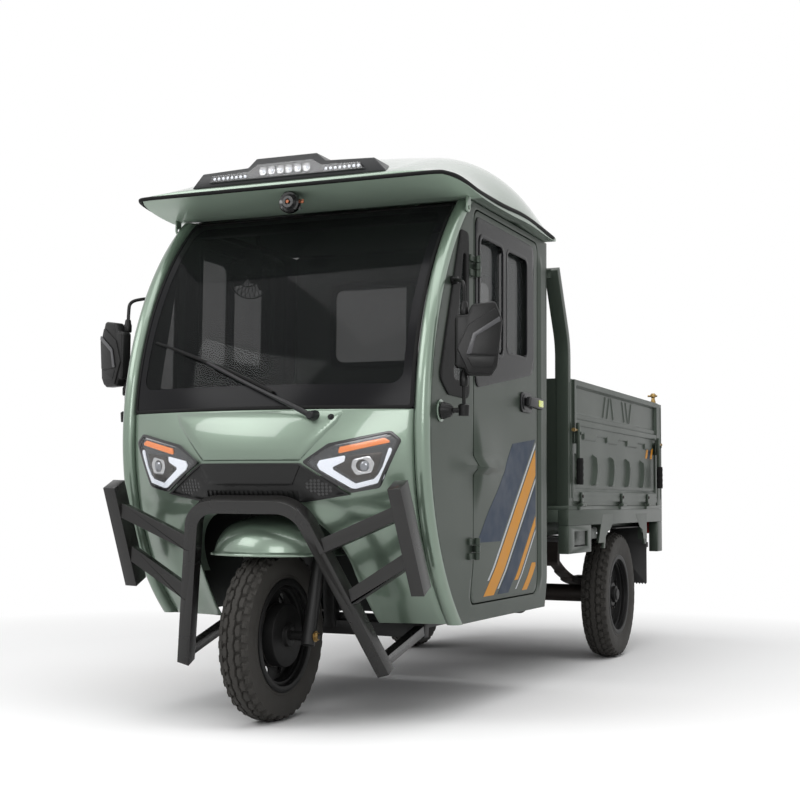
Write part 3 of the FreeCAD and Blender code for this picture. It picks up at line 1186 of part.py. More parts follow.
for share in ("0.08", "0.48", "0.78"):
    y0 = "bed_front+%s*(bed_rear-bed_front)" % share
    for part, (a, b) in ((bed_knuckles, ("0", "gate_hinge_long/2")),
                         (gate_knuckles, ("gate_hinge_long/2+seat_gap", "gate_hinge_long"))):
        y = ("%s+%s" % (y0, a), "%s+%s" % (y0, b))
        part.append(cylinder("y", (gate_axis_x, y[0], gate_axis_z), "gate_hinge_rad",
                             "(%s)-(%s)" % (y[1], y[0])))
        z = ("plate_low", gate_axis_z) if part is bed_knuckles else (gate_axis_z, "bed_floor_top+48")
        part.append(box(("bed_half-1", "bed_half+7"), y, z))
floor_parts += bed_knuckles + [mirrored(part) for part in bed_knuckles]
tail_axis_y = "bed_rear+gate_hinge_rad+3"
tail_knuckles = []
for share in ("-0.62", "0.55"):
    x0 = "%s*bed_half" % share
    for part, (a, b) in ((floor_parts, ("0", "gate_hinge_long/2")),
                         (tail_knuckles, ("gate_hinge_long/2+seat_gap", "gate_hinge_long"))):
        x = ("%s+%s" % (x0, a), "%s+%s" % (x0, b))
        part.append(cylinder("x", (x[0], tail_axis_y, gate_axis_z), "gate_hinge_rad",
                             "(%s)-(%s)" % (x[1], x[0])))
        z = ("plate_low", gate_axis_z) if part is floor_parts else (gate_axis_z, "bed_floor_top+48")
        part.append(box(x, ("bed_rear-1", "bed_rear+7"), z))
node("bed_floor", fuse(*floor_parts))

frame = []
for x in both("bed_half-post_wide", "bed_half"):
    for y in (("bed_front", "bed_front+post_front_deep"), ("bed_rear-post_rear_deep", "bed_rear")):
        frame.append(box(x, y, ("bed_floor_top-load_step+seat_gap", "bed_top")))
frame.append(box(("-bed_half+post_wide-1", "bed_half-post_wide+1"), ("bed_front+4", "bed_front+30"),
                 ("bed_floor_top-load_step+seat_gap", "bed_top")))
for x in (-0.55, 0.0, 0.55):
    frame.append(box(("%g*bed_half-16" % x, "%g*bed_half+16" % x), ("bed_front-6", "bed_front+6"),
                     ("bed_floor_top+20", "bed_top-30")))
post_y = d.bed_front + d.rack_deep / 2
for sign in (1, -1):
    across = sign * (d.bed_half - d.rack_wide / 2)
    frame.append(bent_tube([V(across, post_y, d.bed_top - 2), V(across, post_y, d.bed_top + 128),
                            V(across, d.rack_front, d.rack_top)], V(1, 0, 0), d.rack_wide, d.rack_deep, 220))
frame.append(box(("-bed_half+rack_wide/2", "bed_half-rack_wide/2"), ("rack_front-14", "rack_front+18"),
                 ("rack_top-34", "rack_top-2")))
node("bed_frame", fuse(*frame))

skirts = []
for x in both("bed_half-40", "bed_half"):
    skirts.append(box(x, ("bed_front", "bed_front+post_front_deep"), ("post_front_low", "bed_low-seat_gap")))
    skirts.append(box(x, ("bed_rear-post_rear_deep", "bed_rear"), ("post_rear_low", "bed_low-seat_gap")))
for x in both("bed_half-12", "bed_half"):
    plate = box(x, ("bed_front+post_front_deep-1", "bed_front+306"), ("post_front_low", "bed_low-seat_gap"))
    wide_x = ("(%s)-9" % x[0], "(%s)+9" % x[1])
    hole = box(wide_x, ("bed_front+78", "bed_front+252"), ("post_front_low+24", "bed_low-22"))
    skirts.append(cut(plate, hole))
    for foot, head, lean in (("bed_front+480", "bed_front+510", 1), ("bed_front+1195", "bed_front+1150", -1)):
        step = "(%s+(%s))/2" % (foot, head)
        inner = "%s+%d*strut_foot" % (foot, lean)
        skirts.append(profile("yz", (
            (foot, "post_front_low+8"), (inner, "post_front_low+8"),
            ("%s+%d*strut_foot" % (step, lean), "post_front_low+8+strut_step"),
            ("%s+%d*strut_wide" % (step, lean), "post_front_low+8+strut_step"),
            ("%s+%d*strut_wide" % (head, lean), "bed_low-seat_gap"), (head, "bed_low-seat_gap"),
        ), x[0], x[1]))
node("bed_skirts", fuse(*skirts))

tail_lamp = box(("bed_half-150", "bed_half-46"), ("bed_rear-40", "bed_rear-6"),
                ("bed_low-56", "%s-seat_gap" % bearer_low))
node("tail_lamps", tail_lamp, mirrored(tail_lamp))


# Drop sides: a framed panel with an upper field, a ledge, tapered ribs and hinge knuckles

gate_y = ("bed_front+post_front_deep+gate_gap", "bed_rear-post_rear_deep-gate_gap")
gate_panel = box(("bed_half-gate_wall", "bed_half-6"), gate_y, (gate_low, "bed_top"))
relief = [
    box(("bed_half-7", "bed_half"), gate_y, (gate_low, "%s+34" % gate_low)),
    box(("bed_half-7", "bed_half"), gate_y, ("bed_top-140", "bed_top")),
    box(("bed_half-7", "bed_half+5"), gate_y, ("bed_top-172", "bed_top-142")),
]
for y in ((gate_y[0], "%s+24" % gate_y[0]), ("%s-24" % gate_y[1], gate_y[1])):
    relief.append(box(("bed_half-7", "bed_half"), y, (gate_low, "bed_top")))
gate_slots = []
for k in range(4):
    y = "%s+%g*(bed_rear-bed_front)" % (gate_y[0], 0.19 + 0.17 * k)
    relief.append(profile("yz", (("%s-gate_rib_half" % y, "%s+44" % gate_low),
                                 ("%s+gate_rib_half" % y, "%s+44" % gate_low),
                                 ("%s+gate_rib_half" % y, "%s+130" % gate_low), (y, "%s+166" % gate_low),
                                 ("%s-gate_rib_half" % y, "%s+130" % gate_low)), "bed_half-7", "bed_half+4"))
    if k < 3:
        slot_y = "%s+%g*(bed_rear-bed_front)" % (y, 0.085)
        gate_slots.append(profile("yz", (
            ("%s-gate_slot_long/2-8" % slot_y, "gate_slot_high+gate_slot_tall/2"),
            ("%s-gate_slot_long/2" % slot_y, "gate_slot_high-gate_slot_tall/2"),
            ("%s+gate_slot_long/2+8" % slot_y, "gate_slot_high-gate_slot_tall/2"),
            ("%s+gate_slot_long/2" % slot_y, "gate_slot_high+gate_slot_tall/2"),
        ), "bed_half-14", "bed_half+9"))
side_gate = cut(fuse(gate_panel, *relief, *gate_knuckles), *gate_slots)
latches = []
for inner_y, outer_y, hook in ((gate_y[0], "bed_front-64", "bed_front+20"),
                               ("%s-40" % gate_y[1], "bed_rear-60", "bed_rear-70")):
    base = box(("bed_half+seat_gap", "bed_half+12"), (inner_y, "%s+40" % inner_y),
               ("bed_top-240", "bed_top-180"))
    low_y = inner_y if inner_y == gate_y[0] else "%s-10" % inner_y
    lever = box(("bed_half+11", "bed_half+25"), (low_y, "%s+26" % low_y), ("bed_top-300", "bed_top-160"))
    grip = rounded(box(("bed_half+10", "bed_half+38"), ("%s-4" % low_y, "%s+28" % low_y),
                       ("bed_top-392", "bed_top-290")), 10, V(0, 0, 1))
    reach = (hook, "%s+6" % inner_y) if inner_y == gate_y[0] else ("%s+34" % inner_y, hook)
    catch = box(("bed_half+8", "bed_half+20"), reach, ("bed_top-196", "bed_top-182"))
    latches.append(fuse(base, lever, grip, catch))
for side in ("left", "right"):
    placed = (lambda part: part) if side == "left" else mirrored
    node("side_gate_" + side, placed(side_gate))
    node("gate_latches_" + side, *[placed(latch) for latch in latches])

tail_x = ("-bed_half+post_wide+gate_gap", "bed_half-post_wide-gate_gap")
tail_panel = box(tail_x, ("bed_rear-gate_wall", "bed_rear-6"), (gate_low, "bed_top"))
tail_relief = [box(tail_x, ("bed_rear-7", "bed_rear"), z) for z in ((gate_low, "%s+34" % gate_low),
               ("bed_top-40", "bed_top"), ("bed_top-172", "bed_top-142"))]
for k in range(5):
    x = "%g*bed_half" % (-0.7 + 0.35 * k)
    tail_relief.append(box(("%s-16" % x, "%s+16" % x), ("bed_rear-7", "bed_rear-1"), (gate_low, "bed_top-20")))
node("tailgate", fuse(tail_panel, *tail_relief, *tail_knuckles))


# Check every object, then write one file for each node

doc.recompute()
for part in doc.Objects:
    if "Invalid" in part.State or "Error" in part.State:
        raise RuntimeError("%s did not build" % part.Name)
for part in nodes:
    if part.Shape.isNull() or not part.Shape.isValid() or not part.Shape.Solids:
        raise RuntimeError("%s is not a valid solid" % part.Label)

os.makedirs("parts", exist_ok=True)
whole = FreeCAD.BoundBox()
for part in nodes:
    part.Shape.exportStep("parts/%s.step" % part.Label)
    whole.add(part.Shape.optimalBoundingBox())
print("%d nodes, x %.1f %.1f, y %.1f %.1f, z %.1f %.1f" % (
    len(nodes), whole.XMin, whole.XMax, whole.YMin, whole.YMax, whole.ZMin, whole.ZMax))
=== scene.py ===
"""Enclosed electric cargo tricycle: finishes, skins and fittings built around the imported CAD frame."""
import bisect
import json
import math

import bmesh
import bpy
from mathutils import Matrix, Vector
from mathutils.geometry import delaunay_2d_cdt


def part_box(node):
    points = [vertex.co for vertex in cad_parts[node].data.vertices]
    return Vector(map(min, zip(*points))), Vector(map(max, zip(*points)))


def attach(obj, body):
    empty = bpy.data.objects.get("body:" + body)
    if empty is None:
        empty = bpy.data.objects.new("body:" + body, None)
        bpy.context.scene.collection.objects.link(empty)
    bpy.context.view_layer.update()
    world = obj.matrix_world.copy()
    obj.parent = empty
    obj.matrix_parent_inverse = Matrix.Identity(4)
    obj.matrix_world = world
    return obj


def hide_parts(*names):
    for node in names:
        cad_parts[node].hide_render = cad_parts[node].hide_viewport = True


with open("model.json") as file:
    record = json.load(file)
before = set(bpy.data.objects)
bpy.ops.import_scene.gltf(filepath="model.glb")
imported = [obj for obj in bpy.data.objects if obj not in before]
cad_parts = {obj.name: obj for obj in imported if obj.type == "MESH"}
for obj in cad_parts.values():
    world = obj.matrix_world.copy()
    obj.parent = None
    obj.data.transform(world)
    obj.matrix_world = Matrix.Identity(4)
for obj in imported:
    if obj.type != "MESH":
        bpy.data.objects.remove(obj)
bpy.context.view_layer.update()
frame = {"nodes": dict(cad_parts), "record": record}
cad_nodes = frame["nodes"]
bodies = {name: body for body, names in frame["record"]["behaviour"]["bodies"].items() for name in names}


# The studio. A pale floor that fades into a white backdrop, soft lamps above, and the camera
# at the photograph's place: low, ahead of the vehicle's left front corner.

CAMERA_AT = (1.984, -4.890, 0.647)
CAMERA_YAW, CAMERA_PITCH, CAMERA_ROLL = 23.505, 4.803, 0.433
FOCAL_MM, SENSOR_MM = 62.08, 36.0
FRAME_SHIFT = (-0.0006, -0.0193)
FLOOR_HALF = 14.0
FLOOR_FADE = (1.9, 3.3)
FLOOR_GREY = 0.93
WHITE_LEVEL = 1.0
SKY_LEVEL = 0.58
# Place on the way up the sky, its grey
SKY_LOW = (0.0, (0.30, 0.30, 0.31, 1))
SKY_BEND = (0.30, (0.42, 0.42, 0.43, 1))
SKY_HIGH = (0.75, (1.0, 1.0, 1.0, 1))
# Name, place, aim, size, watts
LAMPS = (
    ("lamp_over", (0.6, -1.0, 4.6), (0.0, 0.0, 0.9), (5.0, 5.0), 170),
    ("lamp_front", (-2.6, -4.6, 3.6), (0.0, -1.0, 0.9), (3.0, 2.0), 78),
    ("lamp_near", (2.2, -6.0, 2.3), (0.4, -0.4, 0.8), (2.4, 2.0), 75),
    ("lamp_side", (4.8, 0.2, 2.6), (0.4, 0.3, 0.8), (2.4, 2.4), 12),
)


def node_tree(owner):
    """An empty node tree for a material or a world."""
    owner.use_nodes = True
    owner.node_tree.nodes.clear()
    return owner.node_tree


def add_node(tree, kind, **settings):
    """A shader node, with its properties, and its inputs by name or number."""
    node = tree.nodes.new(kind)
    for key, value in settings.pop("inputs", {}).items():
        node.inputs[key].default_value = value
    for key, value in settings.items():
        setattr(node, key, value)
    return node


def linked(tree, *links):
    """Links in a tree, each from a node and its output to a node and its input."""
    for source, output, target, socket in links:
        tree.links.new(source.outputs[output], target.inputs[socket])


def placed(name, data):
    """A new object in the scene with this data."""
    thing = bpy.data.objects.new(name, data)
    bpy.context.scene.collection.objects.link(thing)
    return thing


def room_rays(tree):
    """1 for the rays that see the white room: from the camera, through glass and off gloss."""
    rays = add_node(tree, "ShaderNodeLightPath")
    seen = add_node(tree, "ShaderNodeMath", operation="MAXIMUM")
    shown = add_node(tree, "ShaderNodeMath", operation="MAXIMUM")
    linked(tree, (rays, "Is Camera Ray", seen, 0), (rays, "Is Transmission Ray", seen, 1),
           (seen, 0, shown, 0), (rays, "Is Glossy Ray", shown, 1))
    return shown


camera = placed("camera", bpy.data.cameras.new("camera"))
camera.data.lens = FOCAL_MM
camera.data.sensor_width = SENSOR_MM
camera.data.shift_x, camera.data.shift_y = FRAME_SHIFT
turn = (Matrix.Rotation(math.radians(CAMERA_YAW), 4, "Z")
        @ Matrix.Rotation(math.radians(90 + CAMERA_PITCH), 4, "X")
        @ Matrix.Rotation(math.radians(CAMERA_ROLL), 4, "Z"))
camera.matrix_world = Matrix.Translation(CAMERA_AT) @ turn
bpy.context.scene.camera = camera
bpy.context.scene.view_settings.view_transform = "Standard"

for name, place, aim, size, watts in LAMPS:
    lamp = bpy.data.lights.new(name, "AREA")
    lamp.shape = "RECTANGLE"
    lamp.size, lamp.size_y = size
    lamp.energy = watts
    look = Vector(aim) - Vector(place)
    placed(name, lamp).matrix_world = (Matrix.Translation(place)
                                       @ look.to_track_quat("-Z", "Y").to_matrix().to_4x4())

bpy.context.scene.world = bpy.data.worlds.new("studio")
tree = node_tree(bpy.context.scene.world)
direction = add_node(tree, "ShaderNodeTexCoord")
split = add_node(tree, "ShaderNodeSeparateXYZ")
ramp = add_node(tree, "ShaderNodeValToRGB")
greys = ramp.color_ramp.elements
greys[0].position, greys[0].color = SKY_LOW
greys[1].position, greys[1].color = SKY_HIGH
greys.new(SKY_BEND[0]).color = SKY_BEND[1]
room = add_node(tree, "ShaderNodeBackground", inputs={"Strength": SKY_LEVEL})
white = add_node(tree, "ShaderNodeBackground", inputs={"Color": (1, 1, 1, 1), "Strength": WHITE_LEVEL})
pick = add_node(tree, "ShaderNodeMixShader")
linked(tree, (direction, "Generated", split, 0), (split, "Z", ramp, 0), (ramp, "Color", room, "Color"),
       (room_rays(tree), 0, pick, "Fac"), (room, 0, pick, 1), (white, 0, pick, 2),
       (pick, 0, add_node(tree, "ShaderNodeOutputWorld"), 0))

floor_mesh = bpy.data.meshes.new("floor")
corners = [(x * FLOOR_HALF, y * FLOOR_HALF, 0.0) for x, y in ((-1, -1), (1, -1), (1, 1), (-1, 1))]
floor_mesh.from_pydata(corners, [], [(0, 1, 2, 3)])
floor_mesh.materials.append(bpy.data.materials.new("floor_white"))
tree = node_tree(floor_mesh.materials[0])
spot = add_node(tree, "ShaderNodeTexCoord")
length = add_node(tree, "ShaderNodeVectorMath", operation="LENGTH")
fade = add_node(tree, "ShaderNodeMapRange", inputs={"From Min": FLOOR_FADE[0], "From Max": FLOOR_FADE[1]})
share = add_node(tree, "ShaderNodeMath", operation="MULTIPLY")
paper = add_node(tree, "ShaderNodeBsdfDiffuse", inputs={"Color": (FLOOR_GREY, FLOOR_GREY, FLOOR_GREY, 1)})
glow = add_node(tree, "ShaderNodeEmission", inputs={"Color": (1, 1, 1, 1), "Strength": WHITE_LEVEL})
blend = add_node(tree, "ShaderNodeMixShader")
linked(tree, (spot, "Object", length, 0), (length, "Value", fade, "Value"), (fade, "Result", share, 0),
       (room_rays(tree), 0, share, 1), (share, 0, blend, "Fac"), (paper, 0, blend, 1), (glow, 0, blend, 2),
       (blend, 0, add_node(tree, "ShaderNodeOutputMaterial"), 0))
placed("floor", floor_mesh)


# The bull bar. Square and flat steel tube, bent at the hoop's corners, welded where it meets
# and sprayed satin black. Its tubes are the CAD pieces, with the mill's rounded corners added.

EASED_ANGLE, RIM_ANGLE = 32, 50


def finish(name, colour, roughness, metallic=0.0, coat=0.0, coat_roughness=0.06, mottle=0.06,
           mottle_size=0.25, grain=0.0, grain_size=0.0012, swing=0.06, alpha=1.0, glow=0.0, specular=0.5):
    """A procedural finish: a base colour with slow mottling, a fine grain in the bump, and uneven gloss."""
    material = bpy.data.materials.new(name)
    tree = node_tree(material)
    place = add_node(tree, "ShaderNodeTexCoord")
    shader = add_node(tree, "ShaderNodeBsdfPrincipled", inputs={
        "Metallic": metallic, "Coat Weight": coat, "Coat Roughness": coat_roughness, "Alpha": alpha,
        "Specular IOR Level": specular})
    slow = add_node(tree, "ShaderNodeTexNoise", inputs={"Scale": 1 / mottle_size, "Detail": 4.0})
    tint = add_node(tree, "ShaderNodeMix", data_type="RGBA")
    tint.inputs[6].default_value = (*[c * (1 - mottle) for c in colour], 1)
    tint.inputs[7].default_value = (*[min(1.0, c * (1 + mottle)) for c in colour], 1)
    sheen = add_node(tree, "ShaderNodeMapRange", inputs={
        "From Min": 0.3, "From Max": 0.7,
        "To Min": max(0.02, roughness - swing), "To Max": roughness + swing})
    linked(tree, (place, "Object", slow, "Vector"), (slow, "Fac", tint, 0), (tint, 2, shader, "Base Color"),
           (slow, "Fac", sheen, "Value"), (sheen, "Result", shader, "Roughness"),
           (shader, 0, add_node(tree, "ShaderNodeOutputMaterial"), 0))
    if grain:
        fine = add_node(tree, "ShaderNodeTexNoise", inputs={"Scale": 1 / grain_size, "Detail": 2.0})
        bump = add_node(tree, "ShaderNodeBump", inputs={"Strength": grain, "Distance": 0.001})
        linked(tree, (place, "Object", fine, "Vector"), (fine, "Fac", bump, "Height"),
               (bump, "Normal", shader, "Normal"))
    if glow:
        shader.inputs["Emission Color"].default_value = (*colour, 1)
        shader.inputs["Emission Strength"].default_value = glow
    return material


def piece(name, mesh, material, body="chassis", replaces=(), smooth=35):
    """A finished mesh as one piece of the vehicle: shaded, painted and riding on its body."""
    mesh.polygons.foreach_set("use_smooth", [True] * len(mesh.polygons))
    mesh.set_sharp_from_angle(angle=math.radians(smooth))
    mesh.materials.clear()
    for each in material if isinstance(material, (list, tuple)) else (material,):
        mesh.materials.append(each)
    thing = placed(name, mesh)
    if replaces:
        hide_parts(*replaces)
    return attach(thing, body)


def settled(thing):
    """The object's mesh with its modifiers applied, and the object gone."""
    bpy.context.view_layer.update()
    shape = bpy.data.meshes.new_from_object(thing.evaluated_get(bpy.context.evaluated_depsgraph_get()))
    bpy.data.objects.remove(thing)
    return shape


def rounding(thing, width, segments, angle):
    """A modifier that rounds the object's edges that are sharper than an angle."""
    bevel = thing.modifiers.new("edges", "BEVEL")
    bevel.width = width
    bevel.segments = segments
    bevel.limit_method = "ANGLE"
    bevel.angle_limit = math.radians(angle)
    return bevel


def eased(mesh, width, segments=2):
    """The same mesh with its sharp edges rounded over."""
    thing = placed("easing", mesh)
    rounding(thing, width, segments, EASED_ANGLE).use_clamp_overlap = True
    return settled(thing)


def opened(mesh):
    """A bmesh to work on, from a mesh."""
    work = bmesh.new()
    work.from_mesh(mesh)
    return work


def made(work):
    """The mesh of a bmesh that is done with."""
    mesh = bpy.data.meshes.new("made")
    work.to_mesh(mesh)
    work.free()
    return mesh


def merged_copy(node):
    """A copy of a CAD node's mesh with its doubles merged and its flat faces whole."""
    work = opened(cad_nodes[node].data)
    bmesh.ops.remove_doubles(work, verts=work.verts, dist=1e-5)
    bmesh.ops.dissolve_limit(work, angle_limit=math.radians(0.6), verts=work.verts, edges=work.edges)
    return made(work)


def dressed(node, material, width=0.002, segments=2, smooth=35):
    """A CAD piece with its corners rounded and its finish on."""
    mesh = eased(merged_copy(node), width, segments)
    return piece(node + "_skin", mesh, material, bodies[node], (node,), smooth)


bar_paint = finish("satin_black_bar", (0.014, 0.0135, 0.013), 0.28, coat=0.12, coat_roughness=0.15,
                   mottle=0.12, grain=0.05, grain_size=0.0016, specular=0.35)
dressed("bull_bar", bar_paint, 0.0045, 3)


# Chassis, axle, springs and battery under the body. Welded rails and brackets, black paint
# over mill scale, which has gone dull and a little brown on the cast and forged pieces.

frame_paint = finish("chassis_black_paint", (0.012, 0.012, 0.012), 0.42, mottle=0.2, mottle_size=0.12,
                     grain=0.12, grain_size=0.002, specular=0.3)
forged = finish("forged_brown_black", (0.026, 0.020, 0.017), 0.52, metallic=0.25, mottle=0.3,
                mottle_size=0.05, grain=0.3, grain_size=0.003)
moulded = finish("moulded_black_plastic", (0.018, 0.018, 0.019), 0.46, mottle=0.1, grain=0.25,
                 grain_size=0.0009)
flap_rubber = finish("mud_flap_rubber", (0.016, 0.016, 0.016), 0.62, mottle=0.15, grain=0.3,
                     grain_size=0.0015)
dressed("chassis_frame", frame_paint, 0.003)
dressed("rear_axle", forged, 0.003)
dressed("leaf_springs", forged, 0.0012, 1)
dressed("battery_box", moulded, 0.008, 3)
dressed("mud_flaps", flap_rubber, 0.0012, 1)
dressed("fork", frame_paint, 0.003)


# Body paint: a sage green metallic under clear lacquer on the nose, roof and pillars. The doors, cab sides
# and load bed wear the same paint, given a darker, flatter green as painted shade for faces turned away from
# the lamps.

body_paint = finish("sage_green_metallic", (0.165, 0.222, 0.172), 0.36, metallic=0.62, coat=1.0,
                    coat_roughness=0.05, mottle=0.015, grain=0.05, grain_size=0.0007, swing=0.02)
# The same green darkened and dulled as painted shade, for the sides, doors and bed that face away from the
# light
side_painted_shade = finish("side_green_metallic", (0.045, 0.057, 0.046), 0.36, metallic=0.30, coat=0.07,
                    specular=0.11, coat_roughness=0.14, mottle=0.03, grain=0.05, grain_size=0.0008,
                    swing=0.03)

# The seam line of the cab, seen from the side, is two arcs that meet at its foremost point
FRONT_AXLE_Y = -1.257
UPPER_BEND, LOWER_BEND = 0.933, 0.743
APEX_AHEAD, APEX_HIGH = 0.043, 0.850
NOSE_AHEAD = 0.010
CAB_HALF, PILLAR_WIDE = 0.514, 0.046
NOSE_HALF = CAB_HALF - PILLAR_WIDE
SILL_LOW, COWL_HIGH, CAB_TOP = 0.280, 0.906, 1.568
NOSE_CROWN, GLASS_CROWN = 0.122, 0.086
GLASS_TOP = CAB_TOP - 0.003
# Share of the height, share of the bow, from the foot up
NOSE_BOW = ((0.0, 0.55), (0.19, 0.57), (0.35, 0.68), (0.51, 0.90), (0.67, 1.0), (0.84, 0.92), (1.0, 0.71))
GLASS_BOW = ((0.0, 1.0), (0.33, 0.60), (0.66, 0.26), (1.0, 0.03))


def seam_bend(z):
    """The radius of the seam's arc at a height."""
    return UPPER_BEND if z > APEX_HIGH else LOWER_BEND


def seam(z):
    """How far back the seam lies at a height, in the vehicle's frame."""
    bend = seam_bend(z)
    return FRONT_AXLE_Y + bend - APEX_AHEAD - math.sqrt(bend ** 2 - (z - APEX_HIGH) ** 2)


def smooth_table(table, at):
    """A value from a table of pairs, on a smooth curve through them."""
    keys = [row[0] for row in table]
    at = min(max(at, keys[0]), keys[-1])
    i = min(max(bisect.bisect_right(keys, at) - 1, 0), len(table) - 2)
    (x0, y0), (x1, y1) = table[i], table[i + 1]
    before, after = table[max(i - 1, 0)], table[min(i + 2, len(table) - 1)]
    slope0 = (y1 - before[1]) / (x1 - before[0])
    slope1 = (after[1] - y0) / (after[0] - x0)
    width = x1 - x0
    u = (at - x0) / width
    return (y0 * (1 + 2 * u) * (1 - u) ** 2 + slope0 * width * u * (1 - u) ** 2
            + y1 * u * u * (3 - 2 * u) + slope1 * width * u * u * (u - 1))


def bow(x, half, crown):
    """How far a circular arc with this crown stands forward of its ends."""
    radius = (half * half + crown * crown) / (2 * crown)
    return math.sqrt(max(radius * radius - x * x, 0.0)) - (radius - crown)


def nose_y(x, z):
    """The nose's outer face at a point across and up."""
    crown = NOSE_CROWN * smooth_table(NOSE_BOW, (z - SILL_LOW) / (COWL_HIGH - SILL_LOW))
    return seam(z) - NOSE_AHEAD - bow(x, NOSE_HALF, crown)


def glass_y(x, z):
    """The windshield's outer face at a point across and up."""
    crown = GLASS_CROWN * smooth_table(GLASS_BOW, (z - COWL_HIGH) / (GLASS_TOP - COWL_HIGH))
    return seam(z) - NOSE_AHEAD + 0.002 - bow(x, NOSE_HALF, crown)


def fillet(points, radii, steps=6):
    """A closed outline with its corners rounded: one radius for all, or one for each."""
    count = len(points)
    radii = [radii] * count if isinstance(radii, (int, float)) else radii
    line = []
    for i in range(count):
        at, back, ahead = Vector(points[i]), Vector(points[i - 1]), Vector(points[(i + 1) % count])
        into, out = (back - at).normalized(), (ahead - at).normalized()
        turn = into.angle(out)
        reach = min(radii[i] / math.tan(turn / 2), 0.49 * (back - at).length, 0.49 * (ahead - at).length)
        if reach < 1e-6 or abs(turn - math.pi) < 0.02:
            line.append(at.copy())
            continue
        radius = reach * math.tan(turn / 2)
        centre = at + (into + out).normalized() * (radius / math.sin(turn / 2))
        first, last = at + into * reach - centre, at + out * reach - centre
        sweep = first.angle_signed(last)
        line += [centre + Matrix.Rotation(-sweep * k / steps, 2) @ first for k in range(steps + 1)]
    return line


def divided(line, step, closed=True):
    """The same line with points no further apart than a step."""
    dense = []
    count = len(line)
    for i in range(count if closed else count - 1):
        a, b = Vector(line[i]), Vector(line[(i + 1) % count])
        many = max(1, math.ceil((b - a).length / step))
        dense += [a.lerp(b, k / many) for k in range(many)]
    if not closed:
        dense.append(Vector(line[-1]))
    return dense


def inside(point, line):
    """Whether a point lies within a closed outline."""
    odd = False
    for i in range(len(line)):
        a, b = line[i], line[i - 1]
        if (a[1] > point[1]) != (b[1] > point[1]):
            if point[0] < (b[0] - a[0]) * (point[1] - a[1]) / (b[1] - a[1]) + a[0]:
                odd = not odd
    return odd


def gap_to(point, line, closed=True):
    """The distance from a point to a line of points."""
    best = math.inf
    for i in range(0 if closed else 1, len(line)):
        a, b = Vector(line[i - 1]), Vector(line[i])
        run = b - a
        t = min(max((point - a).dot(run) / max(run.length_squared, 1e-12), 0), 1)
        best = min(best, (point - a - run * t).length)
    return best


def sheet(outline, holes, step, lift):
    """A panel's face: a flat outline with holes, filled with an even grid and lifted to its place."""
    loops = [divided(line, step) for line in (outline, *holes)]
    points, borders = [], []
    for loop in loops:
        borders.append(range(len(points), len(points) + len(loop)))
        points += loop
    low = [min(p[k] for p in loops[0]) for k in (0, 1)]
    high = [max(p[k] for p in loops[0]) for k in (0, 1)]
    near = {}
    for p in points:
        near.setdefault((math.floor(p[0] / step), math.floor(p[1] / step)), []).append(p)
    for j in range(int((high[1] - low[1]) / step) + 1):
        for i in range(int((high[0] - low[0]) / step) + 1):
            spot = Vector((low[0] + (i + 0.5) * step, low[1] + (j + 0.5) * step))
            cell = (math.floor(spot[0] / step), math.floor(spot[1] / step))
            close = [p for a in (-1, 0, 1) for b in (-1, 0, 1)
                     for p in near.get((cell[0] + a, cell[1] + b), ())]
            if any((Vector(p) - spot).length < step * 0.55 for p in close):
                continue
            if inside(spot, loops[0]) and not any(inside(spot, hole) for hole in loops[1:]):
                points.append(spot)
    found = delaunay_2d_cdt(points, [], [list(border) for border in borders], 1, 1e-6)
    work = bmesh.new()
    verts = [work.verts.new(lift(p[0], p[1])) for p in found[0]]
    for face in found[2]:
        middle = sum((found[0][k] for k in face), Vector((0, 0))) / len(face)
        if not any(inside(middle, hole) for hole in loops[1:]):
            work.faces.new([verts[k] for k in face])
    bmesh.ops.delete(work, geom=[v for v in work.verts if not v.link_faces], context="VERTS")
    bmesh.ops.join_triangles(work, faces=work.faces, angle_face_threshold=0.6, angle_shape_threshold=0.6)
    return made(work)


def thickened(mesh, wall, toward, rim=0.0):
    """The sheet with a wall behind it: toward is the direction its face looks in; rim rounds its edge."""
    work = opened(mesh)
    work.normal_update()
    total = sum((face.normal * face.calc_area() for face in work.faces), Vector())
    if total.dot(Vector(toward)) < 0:
        bmesh.ops.reverse_faces(work, faces=work.faces)
    thing = placed("wall", made(work))
    solid = thing.modifiers.new("wall", "SOLIDIFY")
    solid.thickness = wall
    solid.offset = -1
    solid.use_even_offset = True
    if rim:
        rounding(thing, rim, 2, RIM_ANGLE)
    return settled(thing)


def quads(work, rows, closed=False):
    """Faces between neighbouring rows of points, and round the ends of closed rows."""
    for a, b in zip(rows, rows[1:]):
        for i in range(-1 if closed else 0, len(a) - 1):
            work.faces.new((a[i], a[i + 1], b[i + 1], b[i]))


# The nose. A pressed and moulded shell, bowed across and raked back over the front wheel, with
# a full lobe on either side of the wheel arch and a rolled lip round the opening.

FORWARD = (0, -1, 0)
ARCH_HALF, ARCH_FLARE, ARCH_HIGH, ARCH_BEND_HIGH = 0.257, 0.272, 0.636, 0.430
# Share of the half width, share of the rise, up the arch's side to its top
ARCH_SHARES = ((1.0, 0.0), (0.92, 0.46), (0.64, 0.84), (0.0, 1.0))
ARCH_FOOT = SILL_LOW - 0.009
NOSE_TRIM_LOW = SILL_LOW + 0.002
NOSE_STEP, NOSE_WALL = 0.009, 0.006
ARCH_LIP_DEEP, ARCH_LIP_STEPS = 0.034, 5
ARCH_MIDDLE = Vector((0, 0.40))


def arc(a, through, b, steps):
    """Points on the circle through three points, from the first to the last."""
    a, through, b = Vector(a), Vector(through), Vector(b)
    chord, side = through - a, b - a
    cross = 2 * (chord.x * side.y - chord.y * side.x)
    centre = a + Vector((side.y * chord.length_squared - chord.y * side.length_squared,
                         chord.x * side.length_squared - side.x * chord.length_squared)) / cross
    first = a - centre
    sweep = first.angle_signed(through - centre) + (through - centre).angle_signed(b - centre)
    return [centre + Matrix.Rotation(-sweep * k / steps, 2) @ first for k in range(steps + 1)]


